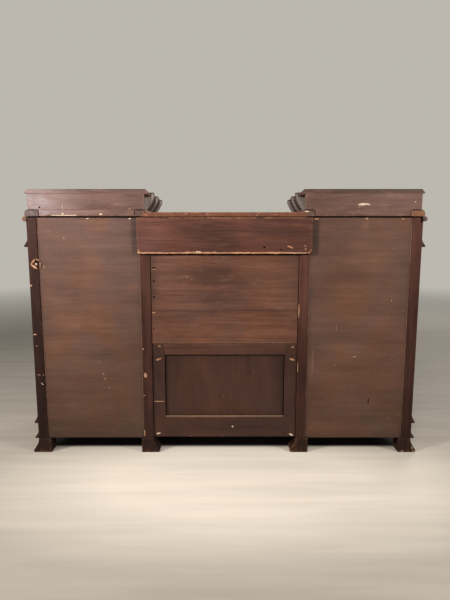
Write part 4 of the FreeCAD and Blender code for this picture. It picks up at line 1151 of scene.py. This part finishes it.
# Painted shadow: near-black lines along the top and sides of the sunk panel.
line_y = (high[1] - LINE_SUNK, high[1] + PANEL_LINE_PROUD)
under_rail = rail_z[1] - PANEL_LINE
dark_strips("sunk_panel_gap",
            [((-stile_x, line_y[0], under_rail), (stile_x, line_y[1], rail_z[1]), 0),
             ((-stile_x, line_y[0], rail_z[0]), (-stile_x + PANEL_LINE, line_y[1], under_rail), 2),
             ((stile_x - PANEL_LINE, line_y[0], rail_z[0]), (stile_x, line_y[1], under_rail), 2)])
line_runs = ((boards_y, frame_high[2], rail_low[2] - RAIL_GAP), (frame_high[1], frame_low[2], frame_high[2]))
joint_spans = []
for s in (1, -1):
    x0, x1 = sorted((s * POST_LINE[0], s * POST_LINE[1]))
    joint_spans += [((x0, y - LINE_SUNK, z0), (x1, y + POST_LINE_PROUD, z1), 2) for y, z0, z1 in line_runs]
dark_strips("post_joint_lines", joint_spans, radius=POST_LINE_ROUND)
low, high = corners("centre_shelves")
boards = [rounded_board(low, (high[0], frame_low[1], low[2] + CENTRE_SHELF), 0),
          rounded_board((low[0], CENTRE_Y + RAIL_DEPTH, FRIEZE_Z),
                        (high[0], corners("centre_back_boards")[0][1], high[2]), 0)]
polished_piece("niche_boards", boards, ["centre_shelves"])


# Knocks and dirt on the back, with some painted shadows and a painted highlight among them, each (x, z,
# length, width, tilt in degrees)

POST_BARE = [(0.781, 0.821, 0.028, 0.009, 135), (0.778, 0.800, 0.034, 0.010, 39),
             (0.753, 0.806, 0.024, 0.006, 90), (0.762, 0.828, 0.016, 0.006, 25),
             (0.795, 0.723, 0.010, 0.009, 0), (0.790, 0.518, 0.013, 0.008, 0),
             (0.334, 0.343, 0.020, 0.016, 80), (0.341, 0.456, 0.009, 0.006, 90),
             (0.341, 0.254, 0.008, 0.005, 0), (0.343, 0.087, 0.028, 0.004, 90),
             (-0.307, 0.617, 0.058, 0.004, 90), (-0.307, 0.379, 0.042, 0.004, 90),
             (-0.765, 0.005, 0.011, 0.006, 0), (-0.815, 0.005, 0.010, 0.006, 0)]
POST_RUBBED = [(0.782, 0.344, 0.013, 0.006, 10), (0.764, 0.344, 0.007, 0.005, 0),
               (0.786, 0.469, 0.008, 0.007, 0)]
POST_CREAM = [(0.768, 0.811, 0.010, 0.009, 0), (0.771, 0.305, 0.013, 0.004, 45),
              (-0.808, 0.019, 0.018, 0.003, 85)]
# The last two, at the posts' tops beside the cornice ends, are painted shadow.
POST_DARK = [(0.768, 0.821, 0.014, 0.006, 10), (0.772, 0.788, 0.020, 0.005, 39),
             (0.797, 0.988, 0.028, 0.005, 90), (-0.794, 0.989, 0.026, 0.011, 90)]
PANEL_BARE = [(0.740, 0.799, 0.020, 0.006, 90), (-0.371, 0.9915, 0.018, 0.011, 0),
              (-0.574, 0.993, 0.011, 0.007, 0), (-0.720, 0.993, 0.015, 0.008, 0)]
PANEL_RUBBED = [(0.513, 0.347, 0.016, 0.009, 70), (0.506, 0.325, 0.012, 0.009, 0),
                (0.557, 0.596, 0.006, 0.006, 0), (0.613, 0.552, 0.009, 0.005, 0),
                (0.579, 0.188, 0.007, 0.004, 0), (0.578, 0.170, 0.006, 0.005, 0),
                (0.714, 0.944, 0.009, 0.005, 0), (0.653, 0.916, 0.011, 0.007, 20),
                (0.657, 0.864, 0.007, 0.005, 0), (0.530, 0.399, 0.012, 0.006, 0),
                (0.490, 0.285, 0.008, 0.006, 0), (0.435, 0.268, 0.008, 0.005, 0),
                (0.388, 0.342, 0.006, 0.006, 0), (0.462, 0.976, 0.050, 0.003, 2),
                (-0.689, 0.874, 0.007, 0.006, 0), (-0.465, 0.545, 0.026, 0.004, 85),
                (-0.464, 0.384, 0.010, 0.006, 0), (-0.371, 0.399, 0.100, 0.004, 90),
                (-0.700, 0.429, 0.060, 0.003, 0), (-0.742, 0.166, 0.020, 0.003, 5),
                (-0.701, 0.152, 0.020, 0.003, 0), (-0.366, 0.103, 0.008, 0.006, 0),
                (-0.545, 0.421, 0.025, 0.005, 0), (0.525, 0.681, 0.130, 0.0012, -1),
                (0.455, 0.642, 0.074, 0.0012, 92), (0.673, 0.630, 0.058, 0.0012, 0)]
PANEL_EDGES = [(s * x, 0.53, 0.92, 0.0035, 90) for s in (1, -1) for x in (0.7575, 0.3475)]
PANEL_CREAM = [(0.554, 0.994, 0.010, 0.005, 0), (0.383, 0.993, 0.012, 0.006, 0),
               (-0.690, 0.660, 0.015, 0.003, 88), (-0.545, 0.4215, 0.012, 0.003, 0)]
PANEL_DARK = [(-0.371, 0.9855, 0.008, 0.006, 0), (-0.612, 0.228, 0.028, 0.005, 90)]
BOX_BARE = [(0.381, 1.032, 0.010, 0.008, 0), (-0.540, 1.039, 0.018, 0.004, 5)]
BOX_RUBBED = [(-0.538, 1.024, 0.011, 0.006, 80)]
BOX_CREAM = [(0.646, 1.0065, 0.104, 0.004, 0), (0.498, 1.011, 0.014, 0.008, 0),
             (-0.553, 1.0495, 0.038, 0.013, -4), (-0.576, 1.0505, 0.014, 0.008, 25),
             (0.651, 1.013, 0.009, 0.006, 0), (-0.764, 1.060, 0.006, 0.005, 0),
             (-0.330, 1.022, 0.018, 0.007, 0), (0.651, 1.036, 0.030, 0.002, 88)]
BOX_DARK = [(0.743, 1.038, 0.009, 0.008, 0)]
RAIL_BARE = [(0.298, 0.8565, 0.106, 0.0080, 0), (0.203, 0.8560, 0.114, 0.0060, 0),
             (0.106, 0.8570, 0.108, 0.0084, 0), (0.018, 0.8560, 0.098, 0.0058, 0),
             (-0.062, 0.8565, 0.088, 0.0072, 0), (-0.140, 0.8560, 0.096, 0.0058, 0),
             (-0.222, 0.8566, 0.096, 0.0074, 0), (-0.294, 0.8562, 0.078, 0.0060, 0),
             (0.347, 0.862, 0.014, 0.010, 80), (0.151, 0.859, 0.024, 0.009, 0),
             (0.042, 0.860, 0.016, 0.007, 0), (-0.265, 0.880, 0.026, 0.007, 20),
             (-0.326, 0.884, 0.009, 0.007, 0), (-0.327, 0.872, 0.010, 0.009, 30),
             (0.150, 0.9958, 0.150, 0.0016, 0), (0.020, 0.9958, 0.110, 0.0022, 0),
             (-0.085, 0.9958, 0.090, 0.0026, 0), (-0.240, 0.9958, 0.170, 0.0020, 0)]
LIPPING_BARE = [(0.155, 1.0115, 0.012, 0.0035, 0), (0.070, 1.0115, 0.010, 0.0035, 0),
                (0.316, 1.0080, 0.012, 0.005, 20), (-0.129, 1.0065, 0.016, 0.0030, 0),
                (-0.135, 1.0130, 0.012, 0.0025, 0), (-0.205, 1.0090, 0.008, 0.003, 0)]
RAIL_CREAM = [(0.105, 0.860, 0.020, 0.009, 10), (0.347, 0.858, 0.010, 0.006, 0)]
RAIL_DARK = [(-0.160, 0.879, 0.010, 0.007, 0), (-0.227, 0.870, 0.009, 0.006, 0)]
BOARD_BARE = [(0.290, 0.789, 0.020, 0.003, 0), (0.294, 0.610, 0.016, 0.005, 0)]
BOARD_RUBBED = [(0.153, 0.760, 0.008, 0.006, 0), (0.135, 0.750, 0.007, 0.006, 0),
                (-0.121, 0.732, 0.007, 0.006, 0), (0.138, 0.556, 0.007, 0.006, 0),
                (0.0, 0.4815, 0.600, 0.003, 0), (0.004, 0.841, 0.008, 0.007, 0)]
BOARD_DARK = [(0.290, 0.796, 0.018, 0.006, 0), (0.291, 0.741, 0.011, 0.007, 0),
              (0.292, 0.677, 0.010, 0.006, 0), (0.295, 0.541, 0.008, 0.006, 0)]
FRAME_BARE = [(0.274, 0.466, 0.013, 0.008, 0), (0.278, 0.410, 0.024, 0.010, -20),
              (-0.284, 0.463, 0.012, 0.008, 0), (-0.283, 0.410, 0.024, 0.010, 20),
              (0.281, 0.226, 0.046, 0.004, 0)]
# The first, a long pale line along the bottom rail's top edge, is a painted highlight.
FRAME_RUBBED_AND_HIGHLIGHT = [(0.0, 0.1575, 0.506, 0.0045, 0), (0.148, 0.070, 0.013, 0.004, 0),
                (0.010, 0.070, 0.013, 0.004, 0)]
FRAME_CREAM = [(0.285, 0.082, 0.018, 0.008, -20), (-0.286, 0.077, 0.018, 0.008, 20),
               (-0.034, 0.113, 0.008, 0.008, 0)]
SUNK_RUBBED = [(0.004, 0.247, 0.006, 0.005, 0), (-0.121, 0.355, 0.014, 0.003, 40)]
JOINT_LINES = [(s * x, z, length, 0.0035, tilt) for s in (1, -1) for x, z, length, tilt in
               ((0.770, BOX_Z + 0.0005, 0.044, 0), (0.341, BOX_Z + 0.0005, 0.042, 0),
                (0.748, (CARCASE_Z + BOX_Z) / 2, 0.025, 90), (0.3625, (CARCASE_Z + BOX_Z) / 2, 0.025, 90))]


LONG_MARK = 0.05
MARKED_NODES = ("right_rear_posts", "right_back_panel", "right_box_back", "centre_back_rail",
                "centre_back_boards", "centre_back_frame")


def knocks(node, marks):
    """Knocks on the rear face of a node; the long ones keep their width."""
    face_y = corners(node)[1][1]
    return [knock(*mark, face_y, blunt=2.0 if mark[2] < LONG_MARK else 14.0) for mark in marks]


def all_knocks(*marks):
    """Knocks of one colour over the whole back: posts, panels, boxes, rail, boards, framing."""
    return [shape for node, places in zip(MARKED_NODES, marks) for shape in knocks(node, places)]


bare = all_knocks(POST_BARE, PANEL_BARE, BOX_BARE, RAIL_BARE, BOARD_BARE, FRAME_BARE)
bare += [knock(*mark, centre_top_high[1] + LIPPING_PROUD) for mark in LIPPING_BARE]
back_piece("bare_knocks", bare, BARE)
rubbed = all_knocks(POST_RUBBED, PANEL_RUBBED + PANEL_EDGES, BOX_RUBBED, [], BOARD_RUBBED, FRAME_RUBBED_AND_HIGHLIGHT)
back_piece("rubbed_places_and_highlight", rubbed + knocks("centre_back_panel", SUNK_RUBBED), RUBBED_AND_HIGHLIGHT)
back_piece("cream_knocks", all_knocks(POST_CREAM, PANEL_CREAM, BOX_CREAM, RAIL_CREAM, [], FRAME_CREAM), CREAM)
dark = all_knocks(POST_DARK, PANEL_DARK, BOX_DARK + JOINT_LINES, RAIL_DARK, BOARD_DARK, [])
back_piece("dark_knocks_and_painted_shade", dark, SHADE_AND_DARK_MARKS)


# Doors

def door_frame_shapes(node):
    """Stiles, rails and a bead mitred round the panel, its face a quarter of an ellipse."""
    low, high = corners(node)
    x = (low[0] + DOOR_STILE, high[0] - DOOR_STILE)
    z = (low[2] + DOOR_RAIL, high[2] - DOOR_RAIL)
    shapes = [rounded_board(low, (x[0], high[1], high[2]), 2), rounded_board((x[1], low[1], low[2]), high, 2),
              rounded_board((x[0], low[1], low[2]), (x[1], high[1], z[0]), 0),
              rounded_board((x[0], low[1], z[1]), (x[1], high[1], high[2]), 0)]
    t = np.radians(np.linspace(0, 90, 7))
    section = np.column_stack([BEAD * np.sin(t), low[1] + 0.0004 + DOOR_SUNK * (1 - np.cos(t))])
    path = [(x[0], z[0]), (x[1], z[0]), (x[1], z[1]), (x[0], z[1])]
    shapes.append(swept(path, section, np.linspace(0.9, 0.1, 7), order=(0, 2, 1), closed=True))
    return shapes


def door_panel_shape(node):
    """Panel stacked from its back: plain edge, flat margin, slope, raised field."""
    low, high = corners(node)
    face = low[1] + FIELD_RISE
    margin = PANEL_GROOVE + FIELD_MARGIN
    inset = np.array([0.0, 0.0, margin, margin + 0.001, margin + FIELD_SLOPE - 0.001, margin + FIELD_SLOPE])
    y = np.array([high[1], face, face, face - 0.0008, low[1] + 0.0002, low[1]])
    worn = np.array([0.0, 0.0, 0.0, 0.5, 0.5, 0.2])
    rows = np.column_stack([low[0] + inset, high[0] - inset, low[2] + inset, high[2] - inset, y])
    return stacked(rows, 2, worn, order=(0, 2, 1), corner=0.001)


def knob_places(node):
    """Centres of a node's knobs, read from its box: one knob, or one at each end."""
    low, high = corners(node)
    half = (high[2] - low[2]) / 2
    z = low[2] + half
    if high[0] - low[0] < 3 * half:
        return [((low[0] + high[0]) / 2, z)], high[1]
    return [(low[0] + half, z), (high[0] - half, z)], high[1]


def drawer_box_shapes(node):
    """Two sides, a back and a bottom."""
    low, high = corners(node)
    t = DRAWER_SIDE
    bottom = low[2] + DRAWER_BOTTOM_LIFT
    floor = bottom + DRAWER_BOTTOM
    return [rounded_board(low, (low[0] + t, high[1], high[2]), 1, spacing=0.03),
            rounded_board((high[0] - t, low[1], low[2]), high, 1, spacing=0.03),
            rounded_board((low[0] + t, high[1] - t, floor), (high[0] - t, high[1], high[2]), 0, spacing=0.03),
            rounded_board((low[0] + t, low[1], bottom), (high[0] - t, high[1], floor), 0, spacing=0.03)]


DEAL = mahogany("drawer_lining_board", (0.15, 0.072, 0.034), (0.26, 0.14, 0.072), (0.36, 0.21, 0.115),
                (0.42, 0.27, 0.15), 0.66, wear=0.4)
DOORS = [f"{side}_{place}_door" for side in SIDES for place in ("pedestal", "centre")]
DRAWERS = [side + "_drawer" for side in (*SIDES, "centre")]


def polished_on(body, name, shapes, node, material=POLISHED):
    """A polished piece of a door or a drawer."""
    add_piece(name, shapes, material, body, [node])


for door in DOORS:
    polished_on(door, door + "_stiles_and_rails", door_frame_shapes(door + "_frame"), door + "_frame")
    polished_on(door, door + "_fielded_panel", [door_panel_shape(door + "_panel")], door + "_panel", FIGURED)
for body, node in [(d, d + "_knob") for d in DOORS] + [(d, d + "_knobs") for d in DRAWERS]:
    places, face = knob_places(node)
    polished_on(body, node.replace("knob", "turned_knob"), [turned_knob(x, face, z) for x, z in places], node)
for drawer in DRAWERS:
    front = rounded_board(*corners(drawer + "_front"), 0, radius=0.002)
    polished_on(drawer, drawer + "_front_board", [front], drawer + "_front", FIGURED)
    add_piece(drawer + "_box_boards", drawer_box_shapes(drawer + "_box"), DEAL, drawer,
              [drawer + "_box"])

PLAIN_NODES = {"pedestal_floors": LINING[0], "pedestal_shelves": LINING[0], "shelf_bearers": LINING[1],
               "drawer_runners": LINING[1], "centre_floor": LINING[0], "hinge_leaves": BRASS,
               "back_frame_screws": IRON}
PLAIN_NODES.update({door + "_brass": BRASS for door in DOORS})
for node, material in PLAIN_NODES.items():
    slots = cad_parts[node].data.materials
    slots.clear()
    slots.append(material)


# Camera, floor and light

LENS, SENSOR, TILT = 27.0, 36.0, 7.74
CAMERA_X, CAMERA_BEHIND, CAMERA_Z = -0.0012, 1.838, 0.913
camera = bpy.data.objects.new("camera", bpy.data.cameras.new("camera"))
camera.data.lens = LENS
camera.data.sensor_width = SENSOR
camera.location = (CAMERA_X, REAR_Y + CAMERA_BEHIND, CAMERA_Z)
camera.rotation_euler = (math.radians(90 - TILT), 0.0, math.radians(180))
bpy.context.scene.collection.objects.link(camera)
bpy.context.scene.camera = camera

WALL = (0.50, 0.478, 0.430)
FLOOR = (0.88, 0.79, 0.67)
FLOOR_RADIUS, FLOOR_RINGS, FLOOR_SPOKES = 40.0, 40, 64
FLOOR_GRAIN = (0.93, 1.05)
FADE_AWAY = (3.0, 7.5)
# A painted pool of light on the floor behind the piece.
POOL_AT = (-0.05, 0.45, 0.0)
POOL_SIZE = (1.6, 0.8, 1.0)
POOL_SHADES = [(0.0, 1.0), (0.1, 0.95), (0.22, 0.50), (0.4, 0.42), (1.0, 0.32)]
# A painted shadow on the floor beneath the piece.
UNDER_X = (0.775, 0.80)
UNDER_BACK_Y = (0.163, 0.188)
UNDER_FRONT_Y = (-0.19, -0.16)
UNDER_SHADE = 0.97


def floor_disc(radius, rings, spokes):
    """A flat disc: rings whose radius grows as the square of their number, closed at the centre."""
    r = radius * np.linspace(0, 1, rings) ** 2
    angle = np.linspace(0, 2 * np.pi, spokes, endpoint=False)
    points = np.stack([r[:, None] * np.cos(angle), r[:, None] * np.sin(angle),
                       np.zeros((rings, spokes))], -1).reshape(-1, 3)
    return weld(points, grid_quads(rings, spokes, closed=True))


def floor_material():
    """Pale matt floor with faint cloudy grain, a painted pool of light behind the piece and a painted
    shadow beneath it, fading into the backdrop's colour far away."""
    material, tree = new_tree("pale_floor")
    place = put(tree, "TexCoord")["Object"]
    grain = cloud(tree, place, (1.2, 16.0, 1.0), 5.0, 0.6, 0.3)
    shades = [tuple(share * c for c in FLOOR) for share in FLOOR_GRAIN]
    colour = mixed(tree, stretch(tree, grain, 0.35, 0.65, 0.0, 1.0), *shades)
    from_pool = put(tree, "Mapping", {"vector_type": "TEXTURE"}, Vector=place, Location=POOL_AT,
                    Scale=POOL_SIZE)[0]
    pool = put(tree, "VectorMath", {"operation": "LENGTH"}, Vector=from_pool)["Value"]
    pool = ramp(tree, stretch(tree, pool, 0.0, 3.0, 0.0, 1.0), POOL_SHADES)
    colour = mixed(tree, 1.0, colour, pool, "MULTIPLY")
    across, along, _ = put(tree, "SeparateXYZ", Vector=place)
    aside = maths(tree, "ABSOLUTE", across, 0.0)
    under = maths(tree, "MULTIPLY", stretch(tree, aside, *UNDER_X, UNDER_SHADE, 0.0),
                  stretch(tree, along, *UNDER_BACK_Y, 1.0, 0.0))
    under = maths(tree, "MULTIPLY", under, stretch(tree, along, *UNDER_FRONT_Y, 0.0, 1.0))
    colour = mixed(tree, under, colour, (0.0, 0.0, 0.0))
    surface = put(tree, "BsdfPrincipled", Base_Color=colour, Roughness=0.75, Specular_IOR_Level=0.2)[0]
    backdrop = put(tree, "Emission", Color=(*WALL, 1), Strength=1.0)[0]
    away = put(tree, "VectorMath", {"operation": "LENGTH"}, Vector=place)["Value"]
    far = stretch(tree, away, *FADE_AWAY, 0.0, 1.0)
    put(tree, "OutputMaterial", Surface=shader_mix(tree, far, surface, backdrop))
    return material


floor_points, floor_quads = floor_disc(FLOOR_RADIUS, FLOOR_RINGS, FLOOR_SPOKES)
floor_mesh = bpy.data.meshes.new("floor")
same = floor_quads == np.roll(floor_quads, -1, axis=1)
floor_mesh.from_pydata(floor_points.tolist(), [], [q[~s].tolist() for q, s in zip(floor_quads, same)])
floor_mesh.materials.append(floor_material())
floor = bpy.data.objects.new("floor", floor_mesh)
bpy.context.scene.collection.objects.link(floor)
floor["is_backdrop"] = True


def soft_light(name, at, aim, width, height, watts, colour):
    """A large square lamp at a point, turned towards another."""
    lamp = bpy.data.lights.new(name, "AREA")
    lamp.shape = "RECTANGLE"
    lamp.size, lamp.size_y, lamp.energy, lamp.color = width, height, watts, colour
    made = bpy.data.objects.new(name, lamp)
    made.location = at
    made.visible_camera = False
    made.rotation_euler = (Vector(aim) - Vector(at)).to_track_quat("-Z", "Y").to_euler()
    bpy.context.scene.collection.objects.link(made)


WARM_WHITE = (1.0, 0.97, 0.93)
LAMPS = {"left_lamp": ((3.2, 2.05, 2.1), (0.0, 0.2, 0.6), 0.6, 0.6, 110.0, WARM_WHITE),
         "right_lamp": ((-3.2, 2.05, 2.1), (0.0, 0.2, 0.6), 0.6, 0.6, 72.0, WARM_WHITE),
         "key_light": ((0.5, 3.1, 3.1), (0.0, 0.8, 0.3), 0.8, 0.8, 58.0, WARM_WHITE),
         "low_light": ((1.155, 1.15, 1.13), (0.77, 0.231, 1.06), 0.17, 0.095, 2.9, (1.0, 0.95, 0.95)),
         "front_light": ((-2.8, -3.4, 2.6), (0.0, -0.1, 0.5), 2.0, 1.8, 72.0, (1.0, 0.98, 0.95))}
for name, lamp in LAMPS.items():
    soft_light(name, *lamp)

SKY_COLOUR = (0.95, 0.97, 1.0, 1.0)
SKY_STRENGTH = 0.34
world = bpy.data.worlds.new("pale_backdrop")
bpy.context.scene.world = world
world.use_nodes = True
sky = world.node_tree
sky.nodes.clear()
rays = put(sky, "LightPath")
seen = maths(sky, "MAXIMUM", maths(sky, "MAXIMUM", rays["Is Camera Ray"], rays["Is Glossy Ray"]),
             rays["Is Transmission Ray"])
up = put(sky, "SeparateXYZ", Vector=put(sky, "TexCoord")["Generated"])[2]
lit = put(sky, "Background", Color=SKY_COLOUR, Strength=stretch(sky, up, 0.1, 1.0, 0.0, SKY_STRENGTH))[0]
shown = put(sky, "Background", Color=(*WALL, 1.0), Strength=1.0)[0]
put(sky, "OutputWorld", Surface=shader_mix(sky, seen, lit, shown))

bpy.context.scene.view_settings.view_transform = "Standard"

bpy.context.view_layer.update()
low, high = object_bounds()
